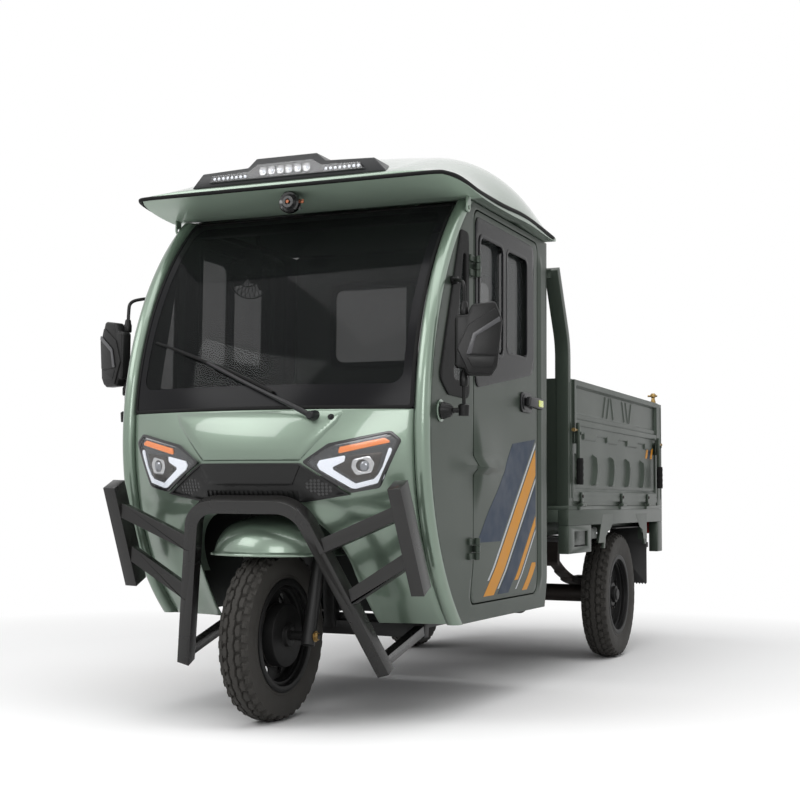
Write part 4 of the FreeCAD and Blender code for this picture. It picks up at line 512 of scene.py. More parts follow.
shoulder = [(-across * ARCH_HALF, ARCH_BEND_HIGH + up * (ARCH_HIGH - ARCH_BEND_HIGH))
            for across, up in ARCH_SHARES]
other = [(-x, z) for x, z in shoulder]
arch_line = [Vector((-ARCH_FLARE, ARCH_FOOT))] + arc(*shoulder[:3], 14)
arch_line += arc(shoulder[2], shoulder[3], other[2], 20)[1:] + arc(other[2], other[1], other[0], 14)[1:]
arch_line.append(Vector((ARCH_FLARE, ARCH_FOOT)))


def bell(distance, width):
    """A smooth hump, 1 at its middle."""
    return math.exp(-(distance / width) ** 2)


def ramp_up(a, b, at):
    """A smooth step from 0 at a to 1 at b."""
    u = min(max((at - a) / (b - a), 0.0), 1.0)
    return u * u * (3 - 2 * u)


def nose_lift(x, z):
    """The nose's face with its lobes, its channel and the ledge under the lamps."""
    off = gap_to(Vector((x, z)), arch_line, False)
    side = abs(x)
    lower = 1 - ramp_up(0.59, 0.66, z)
    lip = 0.007 * bell(off, 0.022) * lower
    channel = -0.012 * bell(off - 0.070, 0.034) * lower * ramp_up(0.32, 0.44, z)
    lobe = 0.009 * bell(side - 0.385, 0.06) * bell(z - 0.50, 0.13)
    ledge = -0.010 * bell(z - 0.632, 0.026) * ramp_up(0.17, 0.24, side) * (1 - ramp_up(0.40, 0.455, side))
    edge = -0.004 * ramp_up(NOSE_HALF - 0.014, NOSE_HALF, side)
    return Vector((x, nose_y(x, z) - lip - channel - lobe - ledge - edge, z))


nose_outline = [(-NOSE_HALF, NOSE_TRIM_LOW), (-ARCH_FLARE + 0.001, NOSE_TRIM_LOW)]
nose_outline += [tuple(p) for p in arch_line[1:-1]]
nose_outline += [(ARCH_FLARE - 0.001, NOSE_TRIM_LOW), (NOSE_HALF, NOSE_TRIM_LOW), (NOSE_HALF, COWL_HIGH),
                 (-NOSE_HALF, COWL_HIGH)]
nose = thickened(sheet(nose_outline, (), NOSE_STEP, nose_lift), NOSE_WALL, FORWARD, 0.0022)
piece("nose_shell", nose, body_paint, "chassis", ("nose_panel",))

# The arch's flange turns in from the lip, back toward the wheel
work = bmesh.new()
rings = []
arch_dense = divided(arch_line[1:-1], 0.008, False)
for k in range(ARCH_LIP_STEPS + 1):
    share = k / ARCH_LIP_STEPS
    ring = []
    for p in arch_dense:
        inward = (ARCH_MIDDLE - p).normalized() * 0.006 * math.sin(share * math.pi / 2)
        face = nose_lift(p[0], p[1])
        ring.append(work.verts.new((face[0] + inward[0], face[1] + 0.001 + ARCH_LIP_DEEP * share,
                                    face[2] + inward[1])))
    rings.append(ring)
quads(work, rings)
piece("arch_flange", thickened(made(work), 0.003, (0, 0, -1)), body_paint, "chassis")


# The hood. A lid over the wiper motor and lamps, raised from the nose, with a crease down each
# side that runs from the windshield's corner to the inner corner of the lamp.

HOOD_PROUD, HOOD_CREASE = 0.0055, 0.0022
HOOD_OUTLINE = ((-0.277, 0.901), (0.277, 0.901), (0.262, 0.868), (0.160, 0.757), (-0.160, 0.757),
                (-0.262, 0.868))
hood_line = fillet(HOOD_OUTLINE, (0.004, 0.004, 0.05, 0.012, 0.012, 0.05), 8)


def hood_lift(x, z):
    """The hood's face: proud of the nose, a flat crease inside its edge, and rolled down at the edge."""
    off = gap_to(Vector((x, z)), hood_line)
    roll = 0.0052 * (1 - ramp_up(0.0, 0.009, off))
    crease = HOOD_CREASE * (1 - ramp_up(0.010, 0.032, off))
    return Vector((x, nose_y(x, z) - HOOD_PROUD - HOOD_CREASE + roll + crease, z))


hood = thickened(sheet(hood_line, (), 0.008, hood_lift), 0.0052, FORWARD, 0.001)
piece("hood_lid", hood, body_paint, "chassis", ("hood_panel",))


# Front pillars. One broad rounded strip on each side, from the foot of the nose up to the roof,
# rolled from sheet so that its face catches a long highlight.

PILLAR_DEEP = 0.024
PILLAR_STEPS, PILLAR_ROUND = 90, 20


def pillar_point(side, t, s):
    """A point of the pillar: s goes up it and t round its section."""
    z = SILL_LOW + 0.0025 + (CAB_TOP - SILL_LOW - 0.004) * s
    slope = (z - APEX_HIGH) / math.sqrt(seam_bend(z) ** 2 - (z - APEX_HIGH) ** 2)
    across = -math.cos(math.pi * t)
    deep = PILLAR_DEEP * (1 - abs(across) ** 2.6) ** 0.55 * math.sqrt(1 + slope ** 2)
    out = CAB_HALF - PILLAR_WIDE / 2 - 0.0002 + across * PILLAR_WIDE / 2
    return Vector((side * out, seam(z) + 0.002 - deep, z))


for side, hand in (("left", 1), ("right", -1)):
    work = bmesh.new()
    rings = [[work.verts.new(pillar_point(hand, i / PILLAR_ROUND, j / PILLAR_STEPS))
              for i in range(PILLAR_ROUND + 1)] for j in range(PILLAR_STEPS + 1)]
    quads(work, rings, True)
    work.faces.new(rings[0])
    work.faces.new(rings[-1])
    bmesh.ops.recalc_face_normals(work, faces=work.faces)
    piece("pillar_" + side, made(work), body_paint, "chassis",
          ("front_pillars",) if side == "left" else ())


# The windshield. Laminated, tinted and bowed glass, with a fired black border on its edge that is
# widest at the foot, and a rubber seal round it.

glass = finish("tinted_glass_sheet", (0.010, 0.011, 0.011), 0.03, mottle=0.0, swing=0.01, alpha=0.58,
               specular=0.07)
gloss_black = finish("fired_black_border", (0.007, 0.007, 0.008), 0.22, mottle=0.05, swing=0.02,
                     specular=0.10)
seal_rubber = finish("seal_rubber", (0.009, 0.009, 0.009), 0.55, mottle=0.15, grain=0.15, specular=0.10)
SCREEN_HALF = NOSE_HALF - 0.001
SCREEN_LOW, SCREEN_HIGH = COWL_HIGH + 0.001, GLASS_TOP - 0.001
# How far each ring's inner edge is from the glass's edge at the sides, the foot and the top; its bend
FRIT_RING = (0.034, 0.072, 0.030, 0.035)
SEAL_RING = (0.009, 0.009, 0.009, 0.008)


def screen_line(side=0.0, foot=0.0, top=0.0, bend=0.012, steps=8):
    """The windshield's outline moved in from its edges."""
    half, low, high = SCREEN_HALF - side, SCREEN_LOW + foot, SCREEN_HIGH - top
    return fillet([(-half, low), (half, low), (half, high), (-half, high)], bend, steps)


def screen_sheet(holes, step, proud, wall, rim=0.0):
    """A sheet along the windshield, proud of it."""
    flat = sheet(screen_line(steps=6), holes, step, lambda x, z: Vector((x, glass_y(x, z) - proud, z)))
    return thickened(flat, wall, FORWARD, rim)


piece("windshield_glass", screen_sheet((), 0.02, 0, 0.005), glass, "chassis", ("windshield",))
piece("windshield_border", screen_sheet((screen_line(*FRIT_RING),), 0.016, 0.0012, 0.001), gloss_black)
piece("windshield_seal", screen_sheet((screen_line(*SEAL_RING),), 0.016, 0.004, 0.004, 0.0012), seal_rubber)


# Wiper. A pressed arm on its spindle beside the left lamp, a hinged blade with a black rubber
# lip that follows the glass, and the washer jet next to the spindle.

satin_trim = finish("satin_black_trim", (0.012, 0.012, 0.013), 0.38, mottle=0.1, grain=0.12,
                    grain_size=0.001, specular=0.28)
WIPER_PIVOT = (0.195, 0.886)
WASHER_JET = (0.245, 0.882)
# The blade on the glass: across, up
BLADE_LINE = ((0.060, 0.955), (-0.060, 1.010), (-0.180, 1.053), (-0.300, 1.094), (-0.413, 1.130))


def tube(line, radius, steps=8):
    """A round rod that runs smoothly past a list of points; a fourth number scales it there."""
    curve = bpy.data.curves.new("rod", "CURVE")
    curve.dimensions = "3D"
    curve.bevel_depth = radius
    curve.bevel_resolution = 3
    curve.use_fill_caps = True
    curve.resolution_u = steps
    spline = curve.splines.new("NURBS")
    spline.points.add(len(line) - 1)
    for point, place in zip(spline.points, line):
        point.co = (*place[:3], 1)
        point.radius = place[3] if len(place) > 3 else 1.0
    spline.order_u = 3
    spline.use_endpoint_u = True
    return settled(placed("rod", curve))


def turned(profile, at=(0, 0, 0), along="x", steps=40):
    """A turned piece: distance along the axis and radius, from one end to the other."""
    order = {"x": (0, 1, 2), "y": (1, 2, 0), "z": (2, 0, 1)}[along]
    work = bmesh.new()
    rings = []
    for run, radius in profile:
        ring = []
        for k in range(steps if radius > 0 else 1):
            spot = [0.0, 0.0, 0.0]
            spot[order[0]] = run
            spot[order[1]] = radius * math.cos(math.tau * k / steps)
            spot[order[2]] = radius * math.sin(math.tau * k / steps)
            ring.append(work.verts.new(Vector(spot) + Vector(at)))
        rings.append(ring)
    for a, b in zip(rings, rings[1:]):
        for k in range(steps):
            corners = [a[k % len(a)], a[(k + 1) % len(a)], b[(k + 1) % len(b)], b[k % len(b)]]
            corners = [v for i, v in enumerate(corners) if v not in corners[:i]]
            if len(corners) > 2:
                work.faces.new(corners)
    if tuple(profile[0]) == tuple(profile[-1]):
        bmesh.ops.remove_doubles(work, verts=rings[0] + rings[-1], dist=1e-6)
    else:
        for ring in (rings[0], rings[-1]):
            if len(ring) > 1:
                work.faces.new(ring)
    bmesh.ops.recalc_face_normals(work, faces=work.faces)
    return made(work)


def joined(*meshes):
    """Several meshes as one."""
    work = bmesh.new()
    for mesh in meshes:
        work.from_mesh(mesh)
    return made(work)


def mirror(mesh):
    """The mesh's mirror image across the vehicle's middle."""
    work = opened(mesh)
    bmesh.ops.scale(work, vec=(-1, 1, 1), verts=work.verts)
    bmesh.ops.reverse_faces(work, faces=work.faces)
    return made(work)


def both_sides(*meshes):
    """The meshes and their mirror images as one."""
    whole = joined(*meshes)
    return joined(whole, mirror(whole))


def pair(name, mesh, material, body, replaces=(), smooth=35):
    """A piece on the left and its mirror image on the right; {} stands for the side in a body or node."""
    for side, shape in (("left", mesh.copy()), ("right", mirror(mesh))):
        nodes = [node.format(side) for node in replaces]
        piece(name + "_" + side, shape, material, body.format(side), nodes, smooth)


def on_glass(x, z, ahead):
    """A place ahead of the windshield."""
    return (x, glass_y(x, z) - ahead, z)


pivot_y = nose_y(*WIPER_PIVOT)
blade = tube([on_glass(x, z, 0.006) for x, z in BLADE_LINE], 0.0042)
spine = tube([on_glass(x, z, 0.0145) for x, z in BLADE_LINE[:4]], 0.0050)
arm = tube([(WIPER_PIVOT[0], pivot_y - 0.031, WIPER_PIVOT[1], 1.5), (0.13, pivot_y - 0.036, 0.918, 1.25),
            (0.06, pivot_y - 0.030, 0.948, 1.0), on_glass(-0.06, 0.999, 0.026),
            on_glass(*BLADE_LINE[2], 0.021)], 0.0056)
spindle = turned([(-0.040, 0), (-0.040, 0.009), (-0.036, 0.012), (-0.024, 0.013), (-0.004, 0.016),
                  (0.004, 0.016)], (WIPER_PIVOT[0], pivot_y, WIPER_PIVOT[1]), "y", 24)
jet = turned([(-0.012, 0), (-0.012, 0.005), (-0.006, 0.008), (0.003, 0.009)],
             (WASHER_JET[0], nose_y(*WASHER_JET) - 0.006, WASHER_JET[1]), "y", 20)
piece("wiper_arm", joined(arm, spindle, jet), satin_trim, replaces=("wiper",))
piece("wiper_blade", joined(blade, spine), seal_rubber)


# Headlamps. Each is a black moulded housing behind a clear cover, with a bent white light strip,
# an amber turn signal under a bright strip, and a round beam lens in a chromed square.

lamp_black = finish("lamp_housing_black", (0.009, 0.009, 0.010), 0.22, coat=0.4, mottle=0.08, swing=0.04)
light_guide = finish("light_guide_white", (0.78, 0.81, 0.88), 0.22, coat=0.6, mottle=0.02, glow=0.28)
amber = finish("turn_signal_amber", (0.80, 0.20, 0.015), 0.18, coat=0.8, mottle=0.05, glow=0.25)
chrome = finish("chromed_plastic", (0.62, 0.62, 0.63), 0.12, metallic=1.0, mottle=0.05)
lens_clear = finish("clear_cover", (0.30, 0.31, 0.32), 0.03, coat=1.0, mottle=0.0, swing=0.01, alpha=0.10)
lens_ball = finish("beam_lens_glass", (0.22, 0.23, 0.25), 0.05, metallic=0.6, coat=1.0, mottle=0.2,
                   mottle_size=0.01)
lamp_floor = finish("lamp_floor_brown", (0.030, 0.022, 0.016), 0.30, metallic=0.5, mottle=0.15)
LAMP_OUTLINE = ((0.440, 0.818), (0.412, 0.843), (0.245, 0.806), (0.170, 0.753), (0.303, 0.667),
                (0.380, 0.682))
LAMP_BENDS = (0.012, 0.012, 0.030, 0.006, 0.012, 0.018)
LAMP_RIM = 0.008
FLOOR_OUTLINE = ((0.262, 0.738), (0.304, 0.772), (0.392, 0.784), (0.370, 0.712), (0.319, 0.698))
STRIP_OUTLINE = ((0.294, 0.773), (0.221, 0.758), (0.214, 0.745), (0.221, 0.732), (0.306, 0.680),
                 (0.318, 0.679), (0.386, 0.698), (0.394, 0.712), (0.417, 0.791), (0.409, 0.797),
                 (0.391, 0.742), (0.378, 0.718), (0.366, 0.706), (0.318, 0.693), (0.259, 0.732),
                 (0.257, 0.739), (0.290, 0.755))
SIGNAL_OUTLINE = ((0.276, 0.796), (0.396, 0.823), (0.417, 0.811), (0.357, 0.797), (0.272, 0.777))
BRIGHT_OUTLINE = ((0.276, 0.811), (0.406, 0.838), (0.400, 0.828), (0.252, 0.797))
BEAM_OUTLINE = ((0.313, 0.762), (0.358, 0.772), (0.371, 0.751), (0.362, 0.724), (0.321, 0.716),
                (0.308, 0.738))
BEAM_AT, BEAM_RAD = (0.339, 0.744), 0.0175


def nose_sheet(outline, holes, proud, wall, step=0.006, rim=0.0006):
    """A plate that lies along the nose, proud of it."""
    flat = sheet(outline, holes, step, lambda x, z: Vector((x, nose_y(x, z) - proud, z)))
    return thickened(flat, wall, FORWARD, rim)


def moved_in(line, step):
    """A closed outline moved in from its edge, away from the side it turns on."""
    area = sum(a[0] * b[1] - b[0] * a[1] for a, b in zip(line, line[1:] + line[:1]))
    hand = 1 if area > 0 else -1
    inner = []
    for i, p in enumerate(line):
        ahead, back = line[(i + 1) % len(line)] - p, p - line[i - 1]
        run = (ahead.normalized() + back.normalized()).normalized()
        inner.append(p + Vector((-run.y, run.x)) * hand * step)
    return inner


lamp_line = fillet(LAMP_OUTLINE, LAMP_BENDS, 6)
lamp_inner = fillet(moved_in([Vector(p) for p in LAMP_OUTLINE], LAMP_RIM * 1.15), 0.010, 5)
beam_line = [Vector(BEAM_AT) + Vector((math.cos(math.tau * k / 28), math.sin(math.tau * k / 28))) * BEAM_RAD
             for k in range(28)]
housing = nose_sheet(lamp_line, (), 0.0035, 0.006, 0.009)
rims = nose_sheet(lamp_line, (lamp_inner,), 0.0108, 0.0090, 0.007, 0.0015)
strips = nose_sheet(fillet(STRIP_OUTLINE, 0.004, 3), (), 0.0088, 0.0045, 0.004)
signals = nose_sheet(fillet(SIGNAL_OUTLINE, 0.004, 3), (), 0.0078, 0.0035, 0.005)
bright = nose_sheet(fillet(BRIGHT_OUTLINE, 0.003, 3), (), 0.0076, 0.003, 0.005)
bezel = nose_sheet(fillet(BEAM_OUTLINE, 0.010, 5), (beam_line,), 0.0088, 0.004, 0.004, 0.0012)
ball = turned([(-0.0095, 0), (-0.0090, 0.006), (-0.0075, 0.011), (-0.005, 0.015), (-0.001, BEAM_RAD)],
              (BEAM_AT[0], nose_y(*BEAM_AT), BEAM_AT[1]), "y", 32)
cover = nose_sheet(lamp_inner, (), 0.0104, 0.0012, 0.009, 0)
lamp_bed = nose_sheet(fillet(FLOOR_OUTLINE, 0.006), (), 0.0045, 0.003)
piece("headlamp_housings", both_sides(housing, rims), lamp_black, replaces=("headlamps",))
piece("headlamp_floors", both_sides(lamp_bed), lamp_floor)
piece("headlamp_strips", both_sides(strips), light_guide)
piece("headlamp_signals", both_sides(signals), amber)
piece("headlamp_bezels", both_sides(bright, bezel), chrome)
piece("headlamp_lenses", both_sides(ball), lens_ball)
piece("headlamp_covers", both_sides(cover), lens_clear)


# The grille between the lamps. One black moulding with a plain bar, a row of upright ribs under
# it and a honeycomb patch in either end, clipped into the nose over a black backing.

BACKING_OUTLINE = ((-0.266, 0.715), (-0.266, 0.655), (0.266, 0.655), (0.266, 0.715))
grille_plastic = finish("grille_satin_black", (0.010, 0.010, 0.010), 0.34, mottle=0.08, grain=0.2,
                        grain_size=0.0009, specular=0.3)
dressed("grille", grille_plastic, 0.0007, 1)
piece("grille_backing", nose_sheet(fillet(BACKING_OUTLINE, 0.008), (), 0.0021, 0.0012, 0.012, 0), lamp_black)


# Roof. A moulded dome whose front runs out as a visor, lacquered in the body's green, with a black
# rubber edge. The faces under the visor are painted a paler green: painted light for the light the floor
# throws up.

# A paler copy of the body green: painted light for the underside of the visor
visor_painted_light = finish("visor_under_painted_light", (0.300, 0.385, 0.310), 0.42, metallic=0.30, mottle=0.03,
                     grain=0.05, grain_size=0.0016)
VISOR_BACK_Y, VISOR_FACE_DOWN = -0.985, -0.25
EDGE_RAD = 0.0062
# Shares of the roof's length, from its front edge back
EDGE_SHARES = (0.02, 0.06, 0.12, 0.20, 0.32, 0.46, 0.62, 0.80, 0.97)
roof_skin = dressed("roof", (body_paint, visor_painted_light), smooth=50)
# Faces that look down under the visor take the paler green of painted light
for face in roof_skin.data.polygons:
    face.material_index = int(face.normal.z < VISOR_FACE_DOWN and face.center.y < VISOR_BACK_Y)
roof_points = [v.co.copy() for v in cad_nodes["roof"].data.vertices]
ROOF_FRONT_Y, ROOF_REAR_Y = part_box("roof")[0][1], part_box("roof")[1][1]


def roof_edge(y, reach=0.014):
    """The roof's edge at a place along it: half its width, and its height."""
    near = [p for p in roof_points if abs(p.y - y) < reach]
    half = max(p.x for p in near)
    lip = [p.z for p in near if p.x > half - 0.010]
    return half, sum(lip) / len(lip)


half_front, edge_front = roof_edge(ROOF_FRONT_Y)
edge_line = [(half_front * (1 - 2 * k / 10), ROOF_FRONT_Y + 0.001, edge_front) for k in range(11)]
for share in EDGE_SHARES:
    y = ROOF_FRONT_Y + share * (ROOF_REAR_Y - ROOF_FRONT_Y)
    half, high = roof_edge(y, 0.03)
    edge_line.append((-half, y, high))
    edge_line.insert(0, (half, y, high))
piece("roof_edge_rubber", tube(edge_line, EDGE_RAD, 10), seal_rubber)


# Roof lamp. A stepped dark grey housing on the visor with a clear window: six bright reflectors in
# the raised middle and a row of small diodes in either wing.

housing_grey = finish("lamp_housing_grey", (0.016, 0.017, 0.018), 0.36, mottle=0.1, grain=0.2,
                      grain_size=0.0008, specular=0.35)
dressed("roof_lamp", housing_grey, 0.004)
LAMP_FACE_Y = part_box("roof_lamp")[0][1]
DIODE_Y = LAMP_FACE_Y - 0.0004
WINDOW_LOW, WINDOW_TOP, WINDOW_WING = 1.6345, 1.6760, 1.6540
WINDOW_HALF, WINDOW_STEP = 0.262, 0.125
WINDOW_OUTLINE = (
    (-WINDOW_HALF, WINDOW_LOW), (WINDOW_HALF, WINDOW_LOW), (WINDOW_HALF - 0.008, WINDOW_WING),
    (WINDOW_STEP, WINDOW_WING + 0.003), (WINDOW_STEP - 0.030, WINDOW_TOP),
    (-WINDOW_STEP + 0.030, WINDOW_TOP), (-WINDOW_STEP, WINDOW_WING + 0.003),
    (-WINDOW_HALF + 0.008, WINDOW_WING))


def prism(outline, low, high, along="y", round_over=0.0, segments=2):
    """A straight piece with this outline, between two places along an axis."""
    first, second, third = {"x": (1, 2, 0), "y": (0, 2, 1), "z": (0, 1, 2)}[along]
    work = bmesh.new()
    rings = []
    for level in (low, high):
        ring = []
        for p in outline:
            at = [0.0, 0.0, 0.0]
            at[first], at[second], at[third] = p[0], p[1], level
            ring.append(work.verts.new(at))
        rings.append(ring)
    quads(work, rings, True)
    work.faces.new(rings[0])
    work.faces.new(rings[1])
    bmesh.ops.recalc_face_normals(work, faces=work.faces)
    mesh = made(work)
    return eased(mesh, round_over, segments) if round_over else mesh


def block(low, high, round_over=0.0, segments=2):
    """A cuboid between two corners."""
    outline = [(low[0], low[1]), (high[0], low[1]), (high[0], high[1]), (low[0], high[1])]
    return prism(outline, low[2], high[2], "z", round_over, segments)


def copies_tree():
    """Copies of a piece in a row or round an axis: each is moved on by a step and by a turn."""
    tree = bpy.data.node_groups.new("row_of_copies", "GeometryNodeTree")
    sockets = (("Piece", "Object"), ("Copies", "Int"), ("Start", "Vector"), ("Step", "Vector"),
               ("Turn", "Vector"), ("Finish", "Material"))
    for label, kind in sockets:
        tree.interface.new_socket(label, in_out="INPUT", socket_type="NodeSocket" + kind)
    tree.interface.new_socket("Geometry", in_out="OUTPUT", socket_type="NodeSocketGeometry")
    given = add_node(tree, "NodeGroupInput")
    points = add_node(tree, "GeometryNodePoints")
    index = add_node(tree, "GeometryNodeInputIndex")
    moved = add_node(tree, "ShaderNodeVectorMath", operation="MULTIPLY_ADD")
    turned_on = add_node(tree, "ShaderNodeVectorMath", operation="MULTIPLY")
    source = add_node(tree, "GeometryNodeObjectInfo")
    instances = add_node(tree, "GeometryNodeInstanceOnPoints")
    real = add_node(tree, "GeometryNodeRealizeInstances")
    coated = add_node(tree, "GeometryNodeSetMaterial")
    linked(tree, (given, "Copies", points, "Count"), (given, "Step", moved, 0), (index, 0, moved, 1),
           (given, "Start", moved, 2), (moved, 0, points, "Position"), (given, "Turn", turned_on, 0),
           (index, 0, turned_on, 1), (given, "Piece", source, "Object"), (points, 0, instances, "Points"),
           (source, "Geometry", instances, "Instance"), (turned_on, 0, instances, "Rotation"),
           (instances, 0, real, 0), (real, 0, coated, 0), (given, "Finish", coated, "Material"),
           (coated, 0, add_node(tree, "NodeGroupOutput"), 0))
    return tree


row_of_copies = copies_tree()


def repeated(part, copies, start=(0, 0, 0), step=(0, 0, 0), turn=(0, 0, 0), material=None):
    """The baked mesh of a row of copies of a part."""
    pattern = placed("pattern", part)
    holder = placed("holder", bpy.data.meshes.new("holder"))
    row = holder.modifiers.new("row", "NODES")
    row.node_group = row_of_copies
    values = {"Piece": pattern, "Copies": copies, "Start": start, "Step": step, "Turn": turn,
              "Finish": material}
    for socket in row_of_copies.interface.items_tree:
        if socket.in_out == "INPUT":
            row[socket.identifier] = values[socket.name]
    mesh = settled(holder)
    bpy.data.objects.remove(pattern)
    return mesh


cup = turned([(0.0, 0.0040), (-0.0015, 0.0075), (-0.0038, 0.0112), (-0.0038, 0.0125), (0.0, 0.0130)],
             along="y", steps=14)
chip = turned([(-0.0030, 0), (-0.0024, 0.0036), (-0.0006, 0.0044)], along="y", steps=8)
small = turned([(-0.0030, 0), (-0.0022, 0.0034), (0.0, 0.0052)], along="y", steps=10)
cups, chips = (repeated(part, 6, (-0.0750, DIODE_Y, 1.6545), (0.030, 0, 0), material=material)
               for part, material in ((cup, chrome), (chip, light_guide)))
wings = [repeated(small, 8, (hand * 0.140, DIODE_Y, 1.6440), (hand * 0.0155, 0, 0), material=light_guide)
         for hand in (-1, 1)]
pane = prism(WINDOW_OUTLINE, LAMP_FACE_Y - 0.0062, LAMP_FACE_Y - 0.0050, round_over=0.0004, segments=1)
piece("roof_lamp_tray", prism(WINDOW_OUTLINE, LAMP_FACE_Y - 0.0006, LAMP_FACE_Y + 0.001), lamp_black)
piece("roof_lamp_reflectors", cups, chrome)
piece("roof_lamp_diodes", joined(chips, *wings), light_guide)
piece("roof_lamp_window", pane, lens_clear)


# Horn. A black snail horn bolted under the visor on a folded bracket, with a copper terminal.

horn_black = finish("horn_black", (0.012, 0.012, 0.012), 0.25, coat=0.5, mottle=0.1)
copper = finish("copper_terminal", (0.24, 0.09, 0.05), 0.35, metallic=1.0, mottle=0.2, mottle_size=0.01)
HORN_AT = (0.0, -1.195, 1.558)
HORN_PROFILE = ((-0.006, 0.0), (-0.006, 0.008), (-0.012, 0.010), (-0.012, 0.018), (-0.004, 0.022),
                (-0.009, 0.030), (-0.004, 0.0338), (0.010, 0.034), (0.028, 0.026), (0.030, 0.0))
ear = tube([(0.020, -1.186, 1.560), (0.030, -1.184, 1.552), (0.026, -1.178, 1.540)], 0.007)
tabs = joined(block((0.030, -1.190, 1.553), (0.046, -1.186, 1.561), 0.0008),
              block((0.030, -1.184, 1.560), (0.043, -1.180, 1.568), 0.0008),
              turned([(-0.015, 0), (-0.015, 0.005), (-0.011, 0.006)], HORN_AT, "y", 16))
piece("horn_body", joined(turned(HORN_PROFILE, HORN_AT, "y", 48), ear), horn_black, replaces=("horn",))
piece("horn_terminals", tabs, copper)
piece("horn_hanger", block((-0.011, -1.176, 1.556), (0.011, -1.156, 1.5795), 0.001), frame_paint)


# Cab sides. Pressed panels behind the front pillars: a crease that rises to a point ahead of the
# door and goes on as a blade on the door's front edge, a rolled bead down the rear post, and the
# small three-cornered window in its rubber.

OUTWARD = (1, 0, 0)
SIDE_OUT = CAB_HALF - 0.0005
CREASE_HIGH = 0.750
BEAD_Y = -0.289
DOOR_LOW, DOOR_HIGH = 0.337, 1.545
DOOR_FRONT_Y, DOOR_REAR_Y = -0.947, -0.320
DOOR_GAP = 0.005
PANEL_WALL = 0.032
CAB_REAR_Y = -0.2075
CAB_TALL = CAB_TOP - SILL_LOW
SIDE_STEPS = 60
QUARTER_HOLE = ((-1.019, 0.972), (-1.160, 0.984), (-1.058, 1.420), (-1.019, 1.420))
QUARTER_RUBBER = ((-0.992, 0.953), (-1.165, 0.955), (-1.236, 1.000), (-1.070, 1.462), (-1.002, 1.462))
QUARTER_CLEAR = ((-1.026, 1.000), (-1.128, 1.006), (-1.050, 1.392), (-1.026, 1.392))


def side_relief(y, z):
    """How far the side's face stands out from its flat: crease, blade, bead and rolled sill."""
    taper = ramp_up(-1.170, -0.955, y) * (1 - ramp_up(-0.90, -0.62, y))
    reach = 0.034 if z > CREASE_HIGH else 0.022
    crease = 0.021 * taper * max(0.0, 1 - abs(z - CREASE_HIGH) / reach)
    blade = 0.017 * ramp_up(DOOR_FRONT_Y - 0.004, DOOR_FRONT_Y + 0.036, y)
    blade *= 1 - ramp_up(DOOR_FRONT_Y + 0.04, -0.55, y)
    blade *= ramp_up(0.60, 0.74, z) * (1 - ramp_up(0.75, 0.94, z))
    bead = 0.008 * bell(y - BEAD_Y, 0.013) * ramp_up(0.33, 0.40, z) * (1 - ramp_up(1.46, 1.52, z))
    tuck = max(0.0, 0.455 - 0.10 * (y + 0.95) - z) * 0.085
    return crease + blade + bead - min(tuck, 0.013)


def side_sheet(outline, holes, wall, step=0.012, proud=0.0, rim=0.0015):
    """A panel that follows the left side of the cab, proud of it."""
    flat = sheet(outline, holes, step, lambda y, z: Vector((SIDE_OUT + proud + side_relief(y, z), y, z)))
    return thickened(flat, wall, OUTWARD, rim)


def rounded_box(low, high, bend, grow=0.0):
    """A rectangle's outline with rounded corners, grown on every side."""
    left, foot, right, top = low[0] - grow, low[1] - grow, high[0] + grow, high[1] + grow
    return fillet([(left, foot), (right, foot), (right, top), (left, top)], bend, 8)


def door_line(grow):
    """The door's outline, grown on every side."""
    return rounded_box((DOOR_FRONT_Y, DOOR_LOW), (DOOR_REAR_Y, DOOR_HIGH), 0.034, grow)


side_outline = [(seam(SILL_LOW + CAB_TALL * k / SIDE_STEPS) + 0.0012,
                 SILL_LOW + 0.0005 + (CAB_TALL - 0.001) * k / SIDE_STEPS) for k in range(SIDE_STEPS + 1)]
side_outline += [(CAB_REAR_Y, CAB_TOP - 0.0005), (CAB_REAR_Y, SILL_LOW + 0.0005)]
quarter_line = fillet(QUARTER_HOLE, [0.016, 0.02, 0.012, 0.012])
quarter_clear = fillet(QUARTER_CLEAR, [0.014, 0.018, 0.01, 0.01])
quarter_rubber = fillet(QUARTER_RUBBER, [0.03, 0.02, 0.03, 0.02, 0.02])
side_glass = finish("side_glass_sheet", (0.040, 0.044, 0.044), 0.05, mottle=0.0, swing=0.01, alpha=0.50,
                    specular=0.30)
pair("cab_side", side_sheet(side_outline, (door_line(DOOR_GAP), quarter_line), PANEL_WALL), side_painted_shade,
     "chassis", ("side_{}",))
piece("quarter_seals", both_sides(side_sheet(quarter_rubber, (quarter_clear,), 0.012, 0.012, 0.0045, 0.002)),
      seal_rubber)
piece("quarter_panes", both_sides(side_sheet(quarter_line, (), 0.004, 0.03, -0.006, 0)), side_glass,
      "chassis", ("fixed_glass",))


# Doors. Pressed skins on two outside hinges, with a black surround that holds two sliding panes,
# a recessed black pull with a reflector on its lever, and a stripe decal across the lower field.

SURROUND = ((-0.940, 0.992), (-0.366, 1.082), (-0.366, 1.527), (-0.940, 1.527))
DOOR_HOLE = ((-0.912, 1.040), (-0.405, 1.102), (-0.405, 1.502), (-0.912, 1.502))
DOOR_GLASS = ((-0.910, 1.043), (-0.407, 1.105), (-0.407, 1.500), (-0.910, 1.500))
PANES = (((-0.908, 1.112), (-0.690, 1.470)), ((-0.648, 1.130), (-0.437, 1.470)))
decal_navy = finish("decal_navy", (0.010, 0.024, 0.050), 0.40, mottle=0.10, mottle_size=0.05,
                    specular=0.12)
decal_amber = finish("decal_amber", (0.56, 0.24, 0.020), 0.40, mottle=0.10, mottle_size=0.05,
                     specular=0.12)
decal_grey = finish("decal_silver_grey", (0.42, 0.44, 0.46), 0.35, metallic=0.2, mottle=0.06, specular=0.4)
